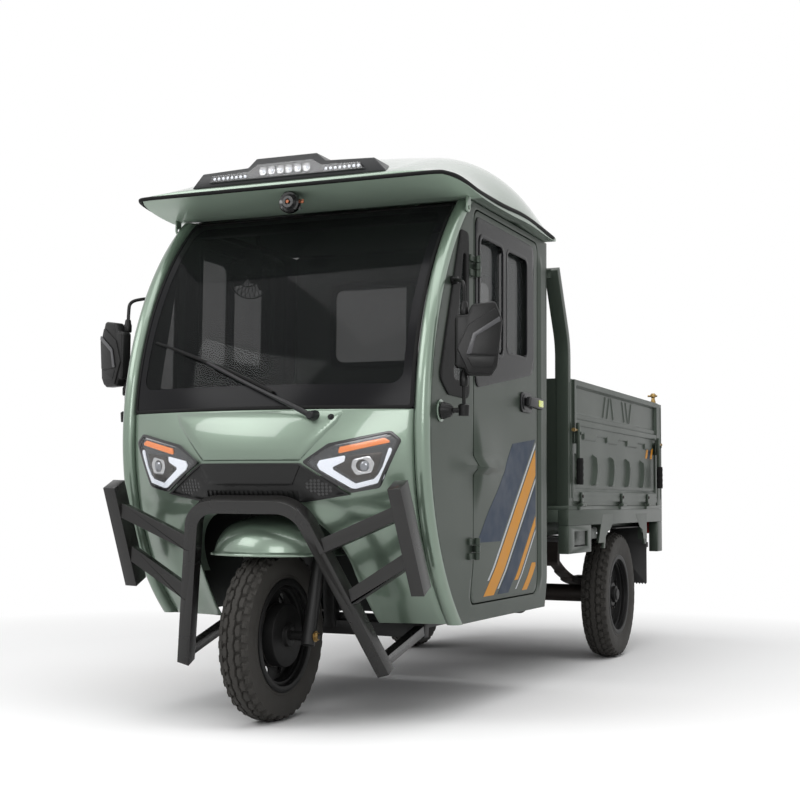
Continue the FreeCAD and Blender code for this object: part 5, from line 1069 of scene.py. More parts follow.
# Slanted stripes on the door: place of the foot on the door's lower edge, width, lowest, highest, finish
STRIPES = ((-1.090, 0.215, 0.52, 0.900, decal_navy), (-0.862, 0.014, 0.40, 0.870, decal_grey),
           (-0.836, 0.092, 0.35, 0.835, decal_amber), (-0.732, 0.012, 0.37, 0.815, decal_grey),
           (-0.708, 0.100, 0.35, 0.780, decal_navy), (-0.596, 0.034, 0.39, 0.610, decal_amber),
           (-0.548, 0.010, 0.36, 0.560, decal_grey), (-0.470, 0.050, 0.35, 0.440, decal_amber))
STRIPE_LEAN = 1.05
STRIPE_NAMES = ((decal_navy, "navy"), (decal_amber, "amber"), (decal_grey, "silver"))
DECAL_FIELD = ((-0.930, 0.352), (-0.340, 0.352), (-0.340, 0.860), (-0.930, 0.800))
LEVER = ((-0.494, 0.966), (-0.350, 0.960), (-0.336, 0.970), (-0.340, 0.994), (-0.352, 1.000),
         (-0.480, 0.998))
HINGE_X, HINGE_Y, HINGE_LEAF = CAB_HALF + 0.013, -0.9495, 0.046
HINGES_LOW = (0.470, 1.332)


def clipped(line, area):
    """The part of a convex outline that lies within another convex outline."""
    for i in range(len(area)):
        a, b = Vector(area[i - 1]), Vector(area[i])
        edge = b - a
        kept = []
        for j in range(len(line)):
            p, q = Vector(line[j - 1]), Vector(line[j])
            left_p, left_q = edge.cross(p - a), edge.cross(q - a)
            if (left_p >= 0) != (left_q >= 0):
                kept.append(p.lerp(q, left_p / (left_p - left_q)))
            if left_q >= 0:
                kept.append(q)
        line = kept
    return line


def stripes(colour):
    """All of the door's stripes in one colour."""
    films = []
    for foot, wide, low, high, own_colour in STRIPES:
        if own_colour is colour:
            left, lean = foot + (low - DECAL_FIELD[0][1]) * STRIPE_LEAN, (high - low) * STRIPE_LEAN
            corners = [(left, low), (left + wide, low), (left + lean + wide, high), (left + lean, high)]
            films.append(side_sheet(clipped(corners, DECAL_FIELD), (), 0.0006, 0.014, 0.0006, 0))
    return joined(*films)


def on_side(outline, low, high, round_over, segments=2):
    """A flat part on the cab's left side, between two distances out from it."""
    return prism(outline, CAB_HALF + low, CAB_HALF + high, "x", round_over, segments)


def hinge(low, a, b, reach):
    """A knuckle of a door hinge, from a to b above its foot, with the leaf it is welded to."""
    profile = [(a, 0), (a, 0.0075), (a + 0.001, 0.0088), (b - 0.001, 0.0088), (b, 0.0075), (b, 0)]
    near, far = sorted((HINGE_Y, HINGE_Y + reach))
    leaf = block((CAB_HALF - 0.001, near, low + a + 0.001), (CAB_HALF + 0.0075, far, low + b - 0.001), 0.0015)
    return joined(turned(profile, (HINGE_X, HINGE_Y, low), "z", 20), leaf)


door_hole = fillet(DOOR_HOLE, 0.040, 8)
surround = side_sheet(fillet(SURROUND, (0.030, 0.045, 0.030, 0.030), 8),
                      [rounded_box(*pane, 0.030) for pane in PANES], 0.0045, 0.014, 0.0035, 0.001)
pane_frames = [side_sheet(rounded_box(*pane, 0.032, 0.008), (rounded_box(*pane, 0.026, -0.004),), 0.007, 0.02,
                          0.0062 - 0.002 * k, 0.0012) for k, pane in enumerate(PANES)]
pull = joined(on_side(rounded_box((-0.506, 0.946), (-0.392, 1.014), 0.020), -0.001, 0.007, 0.003),
              on_side(rounded_box((-0.498, 0.954), (-0.428, 1.006), 0.018), 0.0065, 0.0105, 0.0015),
              on_side(LEVER, 0.012, 0.032, 0.006, 3),
              block((CAB_HALF + 0.004, -0.390, 0.966), (CAB_HALF + 0.020, -0.352, 0.996), 0.003))
reflector = on_side(rounded_box((-0.400, 0.969), (-0.352, 0.991), 0.004), 0.0318, 0.0335, 0.0005)
# The reflector glows a little: a painted glint, since a reflector gives no light of its own
reflector_painted_glow = finish("reflector_yellow_painted_glow", (0.55, 0.62, 0.05), 0.25, coat=0.6, mottle=0.1, glow=0.12)
fixed = [hinge(low, a, b, -HINGE_LEAF) for low in HINGES_LOW for a, b in ((0.0, 0.0215), (0.0445, 0.066))]
swung = [hinge(low, 0.0225, 0.0435, HINGE_LEAF) for low in HINGES_LOW]
pair("door_skin", side_sheet(door_line(0), (door_hole,), PANEL_WALL - 0.002), side_painted_shade, "door_{}",
     ("door_{}",))
pair("window_surround", joined(surround, *pane_frames), gloss_black, "door_{}",
     ("door_glass_{}",))
pair("door_pane", side_sheet(fillet(DOOR_GLASS, 0.038, 8), (), 0.004, 0.05, -0.014, 0), side_glass, "door_{}")
for colour, label in STRIPE_NAMES:
    pair("door_stripes_" + label, stripes(colour), colour, "door_{}")
pair("door_pull", pull, satin_trim, "door_{}", ("door_handle_{}",))
pair("door_reflector", reflector, reflector_painted_glow, "door_{}")
pair("door_hinge", joined(*swung), side_painted_shade, "door_{}")
piece("post_hinges", both_sides(*fixed), side_painted_shade)


# Mirrors. Black moulded heads, wedge-shaped and swept back, each clamped to an upright steel rod that
# is held to the cab side by a bent rod above and a short arm with a ball joint below.

mirror_plastic = finish("mirror_satin_black", (0.010, 0.010, 0.010), 0.34, mottle=0.08, grain=0.15,
                        grain_size=0.0009, specular=0.18)
mirror_glass = finish("mirror_silver", (0.80, 0.81, 0.82), 0.03, metallic=1.0, mottle=0.02, swing=0.01)
facet_grey = finish("facet_grey_plastic", (0.060, 0.060, 0.064), 0.32, mottle=0.08, specular=0.4)
HEAD_AT, HEAD_SWEEP = (0.628, -1.215), math.radians(26)
HEAD_HALF, HEAD_DEEP = 0.069, 0.034
MIRROR_LOW, MIRROR_TOP = 1.004, 1.218
STEM_X, STEM_Y = 0.578, -1.200
ARM_HIGH, ROD_HIGH = 0.905, 1.296
# Outlines on the head's outer face: shares of its width and height from the inner lower corner
HEAD_LINE = ((0.02, 0.10), (0.20, 0.10), (0.27, 0.0), (0.78, 0.0), (0.90, 0.12), (1.0, 0.74), (0.86, 0.98),
             (0.80, 1.0), (0.36, 0.955), (0.28, 0.82), (0.02, 0.80))
STEP_LINE = ((0.05, 0.35), (0.28, 0.68), (0.84, 0.91), (0.90, 0.80), (0.975, 0.72), (0.89, 0.14),
             (0.77, 0.03), (0.29, 0.03), (0.20, 0.16))
FIELD_LINE = ((0.24, 0.27), (0.38, 0.54), (0.93, 0.77), (0.955, 0.70), (0.88, 0.27))
POCKET_LINE = ((0.24, 0.255), (0.88, 0.255), (0.79, 0.105), (0.37, 0.105))
FACET_LINE = ((0.235, 0.275), (0.345, 0.285), (0.44, 0.52), (0.95, 0.73), (0.93, 0.79), (0.375, 0.56))
SILVER_LINE = ((0.30, 0.04), (0.76, 0.04), (0.87, 0.14), (0.96, 0.74), (0.83, 0.955), (0.38, 0.92),
               (0.30, 0.80))
# Turned parts, each as distance along its axis and radius
COLLAR = ((0.0, 0.0), (0.0, 0.0105), (0.004, 0.0125), (0.024, 0.0125), (0.028, 0.0105), (0.038, 0.0095),
          (0.042, 0.0075), (0.043, 0.0))
FOOT_COLLAR = ((0.0, 0.0), (0.0, 0.015), (0.030, 0.017), (0.034, 0.012), (0.034, 0.0))
LOWER_BELL = ((0.0, 0.0), (0.0, 0.024), (0.006, 0.026), (0.012, 0.023), (0.026, 0.019), (0.034, 0.012),
              (0.034, 0))
UPPER_BELL = ((0.0, 0.0), (0.0, 0.012), (0.010, 0.014), (0.020, 0.010), (0.020, 0))
SWIVEL = ((-0.001, 0), (-0.001, 0.031), (0.003, 0.0325), (0.005, 0.030), (0.005, 0))


def head_piece(line, front, back, round_over, bend=0.006):
    """A plate with an outline on the mirror head, between two depths, turned as the head is."""
    places = [((across * 2 - 1) * HEAD_HALF, MIRROR_LOW + up * (MIRROR_TOP - MIRROR_LOW))
              for across, up in line]
    plate = prism(fillet(places, bend, 4), front, back, "y", round_over, 3)
    plate.transform(Matrix.Translation((*HEAD_AT, 0)) @ Matrix.Rotation(HEAD_SWEEP, 4, "Z"))
    return plate


head = [head_piece(HEAD_LINE, 0.0, HEAD_DEEP, 0.007, 0.010), head_piece(STEP_LINE, -0.0045, 0.004, 0.0022),
        head_piece(FIELD_LINE, -0.0075, 0.0, 0.0015), head_piece(POCKET_LINE, -0.0060, 0.0, 0.0015)]
rods = [tube([(STEM_X, STEM_Y, 0.912), (STEM_X, STEM_Y, 1.00), (STEM_X, STEM_Y, 1.25),
              (STEM_X - 0.004, STEM_Y + 0.004, 1.278), (STEM_X - 0.03, STEM_Y + 0.03, 1.290),
              (CAB_HALF + 0.006, STEM_Y + 0.062, ROD_HIGH)], 0.0055, 10),
        tube([(STEM_X, STEM_Y, 0.908), (STEM_X - 0.018, STEM_Y - 0.006, ARM_HIGH),
              (CAB_HALF + 0.022, STEM_Y - 0.020, ARM_HIGH)], 0.0075, 8)]
clamps = [turned(profile, (STEM_X, STEM_Y, high), "z", 22)
          for profile, high in ((COLLAR, 1.178), (COLLAR, 0.975), (FOOT_COLLAR, 0.890))]
bells = [turned(LOWER_BELL, (CAB_HALF + 0.004, STEM_Y - 0.022, ARM_HIGH), "x", 28),
         turned(UPPER_BELL, (CAB_HALF + 0.0003, STEM_Y + 0.063, ROD_HIGH), "x", 24)]
piece("mirror_heads", both_sides(*head, *rods, *clamps, *bells), mirror_plastic, "chassis",
      ("mirrors",))
silver = head_piece(SILVER_LINE, HEAD_DEEP - 0.001, HEAD_DEEP + 0.001, 0.0004, 0.010)
facet = head_piece(FACET_LINE, -0.0090, -0.006, 0.0012, 0.002)
swivel = turned(SWIVEL, (CAB_HALF, STEM_Y - 0.022, ARM_HIGH), "x", 32)
piece("mirror_silvers", both_sides(silver), mirror_glass)
piece("mirror_facets", both_sides(facet), facet_grey)
piece("mirror_swivels", both_sides(swivel), body_paint)


# Tyres. Light-lorry rubber: a wavy rib round the middle, a row of lugs on either side of it, deep
# notches on the shoulders, and plain side walls with two fine rings. One pitch is shaped and repeated.

tyre_rubber = finish("tyre_rubber", (0.030, 0.028, 0.025), 0.72, mottle=0.22, mottle_size=0.03, grain=0.3,
                     grain_size=0.0015, specular=0.3)
PITCH_STEPS = 14
CROWN_ROWS = 44
TREAD_DEEP = 0.0080
# Share of the half width, share of the way from the tread to the bead
SIDE_WALL = ((0.90, 0.090), (0.955, 0.135), (0.985, 0.185), (0.975, 0.190), (1.0, 0.30), (1.0, 0.42),
             (0.985, 0.54), (0.93, 0.70), (0.885, 0.78), (0.90, 0.79), (0.875, 0.86), (0.82, 0.93),
             (0.78, 1.0))
FRONT_WHEEL, REAR_WHEEL = (0.0, FRONT_AXLE_Y, 0.25), (0.449, 0.863, 0.26)


def saw(u):
    """A rounded zigzag, once to and fro in each pitch."""
    return math.sin(math.tau * u) * 0.75 + math.sin(3 * math.tau * u) * -0.08


def groove(distance, half):
    """1 in the floor of a groove and 0 outside it, with steep walls."""
    return 1 - ramp_up(half * 0.72, half * 1.15, abs(distance))


def tread_cut(u, v):
    """How deep the tread is cut: u counts pitches round the tyre, v runs from -1 to 1 across it."""
    hand, shift = (1, 0.0) if v > 0 else (-1, 0.5)
    side = abs(v)
    wave = 0.055 * saw(u + shift)
    cut = groove(side - 0.285 - wave, 0.062)
    cut = max(cut, 0.9 * groove(side - 0.705 - 0.7 * wave, 0.038))
    if 0.33 + wave < side < 0.72:
        phase = (u + shift + 0.25 + 0.12 * (side - 0.5) * hand) % 1.0 - 0.5
        cut = max(cut, groove(phase, 0.115) * ramp_up(0.36, 0.46, side))
    if side > 0.70:
        shoulder = (u + shift + 0.72) % 1.0 - 0.5
        cut = max(cut, 1.1 * groove(shoulder, 0.19 + 0.05 * side))
    if side < 0.22:
        cut = max(cut, 0.35 * groove((u + 0.5 * (v > 0)) % 1.0 - 0.5, 0.05) * ramp_up(0.05, 0.12, side))
    return cut


def tyre(outer, half, bead, pitches):
    """A tyre's mesh about the x axis."""
    wall = outer - bead
    profile = []
    for i in range(CROWN_ROWS + 1):
        v = 2 * i / CROWN_ROWS - 1
        profile.append((v * (half * 0.84), outer - 0.010 * abs(v) ** 2.4, v))
    near, far = ([(hand * half * a, outer - wall * b, None) for a, b in SIDE_WALL] for hand in (1, -1))
    work = bmesh.new()
    rows = []
    for k in range(PITCH_STEPS + 1):
        u = k / PITCH_STEPS
        angle = math.tau * u / pitches
        row = []
        for x, radius, v in far[::-1] + profile + near:
            cut = 0.0
            if v is not None:
                cut = tread_cut(u, v) * TREAD_DEEP
            elif radius > outer - wall * 0.19:
                fade = (radius - (outer - wall * 0.19)) / (wall * 0.10)
                cut = tread_cut(u, math.copysign(1.0, x)) * TREAD_DEEP * min(1.0, fade)
            r = radius - cut
            squeeze = 1 - 0.12 * cut / TREAD_DEEP * (v is None)
            row.append(work.verts.new((x * squeeze, -r * math.sin(angle), r * math.cos(angle))))
        rows.append(row)
    quads(work, rows)
    work = opened(repeated(made(work), pitches, turn=(math.tau / pitches, 0, 0), material=tyre_rubber))
    bmesh.ops.remove_doubles(work, verts=work.verts, dist=2e-5)
    bmesh.ops.recalc_face_normals(work, faces=work.faces)
    bmesh.ops.bridge_loops(work, edges=[e for e in work.edges if e.is_boundary])
    bmesh.ops.recalc_face_normals(work, faces=work.faces)
    return made(work)


def moved(mesh, place):
    """A copy of the mesh moved to a place."""
    mesh = mesh.copy()
    mesh.transform(Matrix.Translation(place))
    return mesh


piece("front_tyre_tread", moved(tyre(0.2497, 0.0478, 0.1535, 38), FRONT_WHEEL), tyre_rubber, "front_wheel",
      ("front_tyre",), 40)
rear_tyre = tyre(0.2597, 0.0528, 0.1535, 42)
for side, hand in (("left", 1), ("right", -1)):
    place = (hand * REAR_WHEEL[0], REAR_WHEEL[1], REAR_WHEEL[2])
    piece("rear_tyre_tread_" + side, moved(rear_tyre, place), tyre_rubber, "rear_wheel_" + side,
          ("rear_tyre_" + side,), 40)


# Rims and hubs. Pressed steel discs in black lacquer with a rolled flange, hub nuts, a ribbed drum
# in the front wheel, and a cap over each rear hub.

rim_black = finish("rim_black_lacquer", (0.009, 0.009, 0.009), 0.42, mottle=0.12, specular=0.12)
hub_grey = finish("hub_cast_grey", (0.040, 0.037, 0.034), 0.45, metallic=0.5, mottle=0.3,
                  mottle_size=0.02, grain=0.3)
brass = finish("zinc_yellow_steel", (0.30, 0.20, 0.075), 0.36, metallic=0.9, mottle=0.25, mottle_size=0.01)
HUB_CAP = ((0.0, 0.0), (0.0, 0.052), (0.012, 0.054), (0.020, 0.048), (0.022, 0.030), (0.034, 0.028),
           (0.040, 0.022), (0.042, 0.0))
hex_nut = turned([(0.0, 0.0), (0.0, 0.0092), (0.009, 0.0092), (0.0115, 0.0065), (0.0115, 0.0045),
                  (0.019, 0.0042), (0.020, 0.0)], (0, 0, 0.070), steps=6)
flange_ring = turned([(-0.0035, 0.150), (-0.0035, 0.1625), (-0.001, 0.1655), (0.002, 0.1655), (0.0035, 0.163),
                      (0.0020, 0.1585), (0.0012, 0.150), (-0.0035, 0.150)], steps=72)
step_ring = turned([(-0.002, 0.136), (-0.002, 0.146), (0.002, 0.147), (0.003, 0.145), (0.002, 0.136),
                    (-0.002, 0.136)], steps=72)
drum_fin = turned([(0.0, 0.084), (0.0, 0.0935), (0.003, 0.0935), (0.003, 0.084), (0.0, 0.084)], steps=60)
for node in ("rear_rim_left", "rear_rim_right", "front_rim"):
    dressed(node, rim_black, 0.0025, 2)
rear_face = Vector((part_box("rear_rim_left")[1][0], REAR_WHEEL[1], REAR_WHEEL[2]))
rear_rings = joined(moved(flange_ring, rear_face - Vector((0.0042, 0, 0))),
                    moved(step_ring, rear_face - Vector((0.020, 0, 0))),
                    turned(HUB_CAP, rear_face - Vector((0.046, 0, 0)), "x", 48))
wheel_nuts = moved(repeated(hex_nut, 5, turn=(math.tau / 5, 0, 0)), rear_face - Vector((0.050, 0, 0)))
pair("rear_rim_rings", rear_rings, rim_black, "rear_wheel_{}")
pair("rear_wheel_nuts", wheel_nuts, hub_grey, "rear_wheel_{}")
drum = joined(*[moved(drum_fin, (-0.020 + 0.010 * k, 0, 0)) for k in range(4)])
piece("front_drum_fins", moved(drum, FRONT_WHEEL), hub_grey, "front_wheel")
front_rings = both_sides(moved(flange_ring, (0.0405, 0, 0)), moved(step_ring, (0.030, 0, 0)))
piece("front_rim_rings", moved(front_rings, FRONT_WHEEL), rim_black, "front_wheel")


# Cab inside. Dark lining on the doors and sides, a moulded dashboard, a two-piece vinyl bench, a
# handlebar with rubber grips and levers, the fan on the header, and the rear wall with its window.

lining = finish("lining_dark_grey", (0.020, 0.022, 0.021), 0.70, mottle=0.15, grain=0.3, grain_size=0.002,
                specular=0.2)
dash_plastic = finish("dashboard_charcoal", (0.014, 0.014, 0.015), 0.55, mottle=0.1, grain=0.15,
                      grain_size=0.0015, specular=0.25)
vinyl = finish("seat_vinyl_black", (0.016, 0.016, 0.017), 0.50, mottle=0.12, grain=0.12, grain_size=0.002,
               specular=0.3)
inner_paint = finish("inner_grey_green", (0.120, 0.145, 0.125), 0.55, mottle=0.08, grain=0.08,
                     grain_size=0.002)
LINING_WALL, LINING_PROUD = 0.0015, -PANEL_WALL - 0.002
LINING_LOW, LINING_TOP = 0.34, 1.52
REAR_PANE = ((-0.318, 1.150), (0.318, 1.450))
PILLOW_STEPS = 36
CHANNELS = (-0.36, 0.36)
FAN_AT = (-0.300, -0.893, 1.405)
FAN_BLADE = ((-0.010, -0.004, 0.014), (0.012, 0.006, 0.014), (0.040, 0.010, 0.052), (0.026, 0.004, 0.078),
             (-0.010, -0.008, 0.076), (-0.022, -0.010, 0.045))
# The grip's inner end, the way it runs, and the first ring's place and spacing in shares of that
GRIP_START, GRIP_RUN = (0.210, FRONT_AXLE_Y + 0.2009, 0.9508), (0.128, 0.126, -0.036)
GRIP_RINGS, GRIP_FIRST, GRIP_SPACING = 9, 0.14, 0.09
GRIP_RING = ((-0.0022, 0), (-0.0022, 0.0185), (0, 0.0192), (0.0022, 0.0185), (0.0022, 0))
side_lining_line = [(seam(z) + 0.020, z) for z in (LINING_LOW, 0.5, 0.7, 0.9, 1.1, 1.3, 1.45, LINING_TOP)]
side_lining_line += [(CAB_REAR_Y - 0.033, LINING_TOP), (CAB_REAR_Y - 0.033, LINING_LOW)]
side_lining = side_sheet(side_lining_line, (door_line(DOOR_GAP + 0.002), quarter_line), LINING_WALL, 0.03,
                         LINING_PROUD, 0)
door_lining = side_sheet(door_line(-0.012), (door_hole,), LINING_WALL, 0.03, LINING_PROUD, 0)
piece("side_linings", both_sides(side_lining), lining)
pair("door_lining", door_lining, lining, "door_{}")
dressed("cab_floor", lining, 0.004)
dressed("rear_wall", inner_paint, 0.003)
dressed("screen_header", satin_trim, 0.006, 3)
dressed("dashboard", dash_plastic, 0.010, 3)
rear_ring = sheet(rounded_box(*REAR_PANE, 0.046, 0.012), (rounded_box(*REAR_PANE, 0.036, -0.012),), 0.02,
                  lambda x, z: Vector((x, CAB_REAR_Y - 0.036, z)))
rear_divider = block((-0.017, CAB_REAR_Y - 0.036, REAR_PANE[0][1]),
                     (0.017, CAB_REAR_Y - 0.022, REAR_PANE[1][1]), 0.003)
rear_pane = prism(rounded_box(*REAR_PANE, 0.040, -0.001), CAB_REAR_Y - 0.021, CAB_REAR_Y - 0.016)
piece("rear_window_pane", rear_pane, side_glass, "chassis", ("fixed_glass",))
piece("rear_window_seal", thickened(rear_ring, 0.006, FORWARD, 0.002), seal_rubber)
piece("rear_window_divider", rear_divider, inner_paint)


def pillow(low, high, thin):
    """A stuffed cushion: crowned on both faces, tight at its seamed rim, with stitched channels across."""
    wide, tall = [k for k in range(3) if k != thin]
    middle = [(a + b) / 2 for a, b in zip(low, high)]
    half = [(b - a) / 2 for a, b in zip(low, high)]
    places = [math.sin(math.pi / 2 * (2 * k / PILLOW_STEPS - 1)) for k in range(PILLOW_STEPS + 1)]
    work = bmesh.new()
    for hand in (1, -1):
        grid = []
        for a in places:
            row = []
            for b in places:
                full = ((1 - abs(a) ** 5) * (1 - abs(b) ** 5)) ** 0.42
                crown = 0.80 + 0.20 * (1 - a * a) * (1 - b * b)
                dent = sum(bell(a - c, 0.035) for c in CHANNELS) * 0.16 * full
                squeeze = 1 - 0.045 * (a * b) ** 2
                at = list(middle)
                at[wide] += a * half[wide] * squeeze
                at[tall] += b * half[tall] * squeeze
                at[thin] += hand * half[thin] * full * (crown - dent) * 0.985
                row.append(work.verts.new(at))
            grid.append(row)
        quads(work, grid)
    bmesh.ops.remove_doubles(work, verts=work.verts, dist=1e-5)
    bmesh.ops.recalc_face_normals(work, faces=work.faces)
    return made(work)


seat_low, seat_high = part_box("driver_seat")
cushion = pillow((seat_low[0], seat_low[1], 0.4703), (seat_high[0], -0.297, 0.552), 2)
backrest = pillow((seat_low[0], -0.309, 0.5528), (seat_high[0], seat_high[1], seat_high[2]), 1)
seat = piece("driver_seat_cushions", joined(cushion, backrest), vinyl, "chassis",
             ("driver_seat",), 60)

wire = tube([(0, -0.020, 0.014), (0, -0.024, 0.050), (0, -0.014, 0.082), (0, 0.0, 0.0895),
             (0, 0.018, 0.080), (0, 0.026, 0.050), (0, 0.022, 0.016)], 0.0011, 4)
work = bmesh.new()
work.faces.new([work.verts.new(p) for p in FAN_BLADE])
fan = [repeated(wire, 30, turn=(0, math.tau / 30, 0)),
       repeated(thickened(made(work), 0.002, (0, 1, 0)), 3, turn=(0, math.tau / 3, 0)),
       turned([(-0.026, 0), (-0.026, 0.014), (-0.020, 0.018), (0.012, 0.017), (0.012, 0)],
              along="y", steps=24),
       turned([(0.020, 0), (0.020, 0.030), (0.026, 0.036), (0.052, 0.034), (0.064, 0.022), (0.066, 0)],
              along="y", steps=32),
       tube([(0, 0.040, 0.020), (0, 0.046, 0.070), (0, 0.040, 0.110), (0, 0.030, 0.146)], 0.007),
       block((-0.020, 0.010, 0.136), (0.020, 0.052, 0.150), 0.004)]
for r, y in ((0.089, 0.0), (0.052, -0.023)):
    band = [(a * 0.0015, r + b * 0.0015) for a, b in ((-1, -1), (-1, 1), (1, 1), (1, -1), (-1, -1))]
    fan.append(turned(band, (0, y, 0), "y", 48))
piece("cab_fan_parts", moved(joined(*fan), FAN_AT), satin_trim, replaces=("cab_fan",))

dressed("handlebar", frame_paint, 0.003)
grip_turn = (Matrix.Rotation(math.atan2(0.126, 0.128), 4, "Z")
             @ Matrix.Rotation(math.atan2(0.036, 0.180), 4, "Y"))
rings = []
for k in range(GRIP_RINGS):
    rings.append(turned(GRIP_RING, steps=20))
    middle = Vector(GRIP_START) + Vector(GRIP_RUN) * (GRIP_FIRST + GRIP_SPACING * k)
    rings[-1].transform(Matrix.Translation(middle) @ grip_turn)
piece("handlebar_grips", both_sides(*rings), seal_rubber, "steering")


# Drop sides. Pressed steel with a framed upper field of slanted ridges, a ledge that is notched
# underneath, a lower field of scale-shaped ribs, and a rail over the hinges.

BED_HALF = 0.537
BED_FRONT_Y, BED_LONG = -0.021, 1.509
GATE_BASE = BED_HALF - 0.006
GATE_Y = (0.039, 1.390)
GATE_Z = (0.6335, 1.100)
GATE_WALL, RAIL_WIDE = 0.003, 0.026
LEDGE_LOW, LEDGE_TOP = 0.930, 0.956
LEDGE_NOTCHES = ((0.19, 0.37), (0.52, 0.70), (0.85, 1.03), (1.16, 1.30))
# Place and lean of the ridges
RIDGES = ((0.50, 1), (0.56, 1), (0.62, -1), (0.80, -1), (0.86, -1), (0.92, 1))
RIB_SPACING, RIB_FIRST = 0.2565, GATE_Y[0] + 0.287
RIB_FOOT, RIB_TOP = 0.704, 0.836
# The frame behind the pressed face: how far in, from and to along the side, from and to upward
GATE_FRAME = ((0.030, *GATE_Y, 1.070, 1.0995), (0.030, *GATE_Y, 0.648, 0.690),
              (0.030, GATE_Y[0], GATE_Y[0] + RAIL_WIDE, 0.690, 1.070),
              (0.030, GATE_Y[1] - RAIL_WIDE, GATE_Y[1], 0.690, 1.070), (0.022, *GATE_Y, 0.900, 0.950))
KNUCKLE = ((0, 0), (0, 0.007), (0.001, 0.008), (0.0287, 0.008), (0.0297, 0.007), (0.0297, 0))
KNUCKLE_SHIFT, KNUCKLE_HIGH = 0.0303, 0.637
GATE_HINGES, TAIL_HINGES = (0.08, 0.48, 0.78), (-0.62, 0.55)
GATE_BOLT = ((0.0, 0.0), (0.0, 0.0070), (0.0040, 0.0070), (0.0050, 0.0050), (0.0050, 0.0))


def step_up(edge, at, soft=0.003):
    """A steep step from 0 to 1 at an edge."""
    return ramp_up(edge - soft, edge + soft, at)


def rib_relief(y, z):
    """The scale-shaped ribs: each curves back as it rises, steep in front and long behind."""
    k = round((y - RIB_FIRST) / RIB_SPACING - 0.30)
    if not -1 <= k <= 3:
        return -1.0
    bend = 0.034 * math.sin(math.pi * min(1.0, max(0.0, (z - RIB_FOOT) / 0.150)))
    run = y - RIB_FIRST - k * RIB_SPACING + 0.020 - bend
    face = min(max(0.0, min(1.0, (run + 0.020) / 0.032)), max(0.0, 1 - max(0.0, run - 0.012) / 0.120))
    crest = RIB_TOP - 0.9 * abs(run - 0.004) if run < 0.03 else RIB_TOP - 0.023 - 0.25 * (run - 0.03)
    return -0.007 + 0.021 * face * (1 - ramp_up(crest - 0.012, crest, z)) * ramp_up(RIB_FOOT, 0.716, z)


def gate_relief(y, z):
    """How far the drop side's face stands out from its sheet."""
    near_end = min(y - GATE_Y[0], GATE_Y[1] - y)
    rails = max(1 - step_up(RAIL_WIDE, near_end), step_up(1.076, z), 1 - step_up(0.690, z))
    height = 0.013 * rails - 0.007 * (1 - step_up(0.905, z)) - 0.003 * (1 - step_up(0.646, z))
    height = max(height, 0.006 * step_up(LEDGE_TOP, z) * (1 - step_up(0.976, z)))
    height = max(height, 0.0115 * step_up(LEDGE_LOW, z) * (1 - step_up(LEDGE_TOP, z)))
    if z < LEDGE_LOW + 0.003:
        shelf = 0.884 if any(a < y < b for a, b in LEDGE_NOTCHES) else 0.904
        height = max(height, 0.0065 * step_up(shelf, z, 0.002))
    if 0.984 < z < 1.068:
        lean = (z - 1.026) * 0.45
        for place, hand in RIDGES:
            height = max(height, 0.0035 * (1 - ramp_up(0.006, 0.011, abs(y - place - hand * lean))))
    if RIB_FOOT < z < RIB_TOP + 0.012 and near_end > 0.03:
        height = max(height, rib_relief(y, z))
    height -= 0.0030 * bell(z - 0.698, 0.0022) * (near_end > 0.03)
    return height - 0.0022 * bell(z - 0.668, 0.0016)


def relief_panel(spans, ups, wall, place, toward):
    """A pressed panel: a grid of points, each put in its place, with a wall behind it."""
    work = bmesh.new()
    rows = [[work.verts.new(place(a, b)) for a in spans] for b in ups]
    quads(work, rows)
    toward = Vector(toward)
    level = min(v.co.dot(toward) for v in work.verts) - wall
    rim = rows[0] + [row[-1] for row in rows[1:-1]] + rows[-1][::-1] + [row[0] for row in rows[-2:0:-1]]
    back = [work.verts.new(v.co - toward * (v.co.dot(toward) - level)) for v in rim]
    for i in range(len(rim)):
        work.faces.new((rim[i - 1], rim[i], back[i], back[i - 1]))
    work.faces.new(back)
    bmesh.ops.recalc_face_normals(work, faces=work.faces)
    return made(work)


def spread(low, high, step):
    """Even places from one end to the other, about a step apart."""
    count = max(1, round((high - low) / step))
    return [low + (high - low) * k / count for k in range(count + 1)]


def gate_stripe(foot, wide):
    """A slanted stripe of film under the drop side's ledge."""
    return relief_panel((0, 0.5, 1), (0, 0.5, 1), 0.0006, lambda a, b: Vector((
        GATE_BASE + 0.0009, foot + wide * a + 0.030 * b, 0.842 + 0.048 * b)), OUTWARD)


gate_parts = [relief_panel(spread(*GATE_Y, 0.0048), spread(*GATE_Z, 0.0040), GATE_WALL,
                           lambda y, z: Vector((GATE_BASE + gate_relief(y, z), y, z)), OUTWARD)]
gate_parts += [block((BED_HALF - deep, y0, z0), (GATE_BASE - 0.002, y1, z1), 0.003)
               for deep, y0, y1, z0, z1 in GATE_FRAME]
gate_bolts = []
for share in GATE_HINGES:
    y = BED_FRONT_Y + share * BED_LONG + KNUCKLE_SHIFT
    gate_parts.append(turned(KNUCKLE, (0.548, y, KNUCKLE_HIGH), "y", 20))
    gate_parts.append(block((0.5365, y + 0.001, KNUCKLE_HIGH), (0.5435, y + 0.0287, 0.683), 0.0015))
    gate_bolts.append(turned(GATE_BOLT, (0.5430, y + 0.0149, 0.668), "x", 6))
pair("gate_panel", joined(*gate_parts), side_painted_shade, "side_gate_{}", ("side_gate_{}",), 40)
pair("gate_bolts", joined(*gate_bolts), forged, "side_gate_{}")
pair("gate_stripes_amber", joined(gate_stripe(1.190, 0.034), gate_stripe(1.280, 0.034)), decal_amber,
     "side_gate_{}")
pair("gate_stripes_navy", gate_stripe(1.232, 0.040), decal_navy, "side_gate_{}")


# Latches. An over-centre lever of pressed steel at either end of each drop side, with a black ribbed
# rubber grip, a pivot bolt and a hook rod that draws the side against its post.

ROD_OUT, LATCH_ROD_HIGH = BED_HALF + 0.014, 0.911
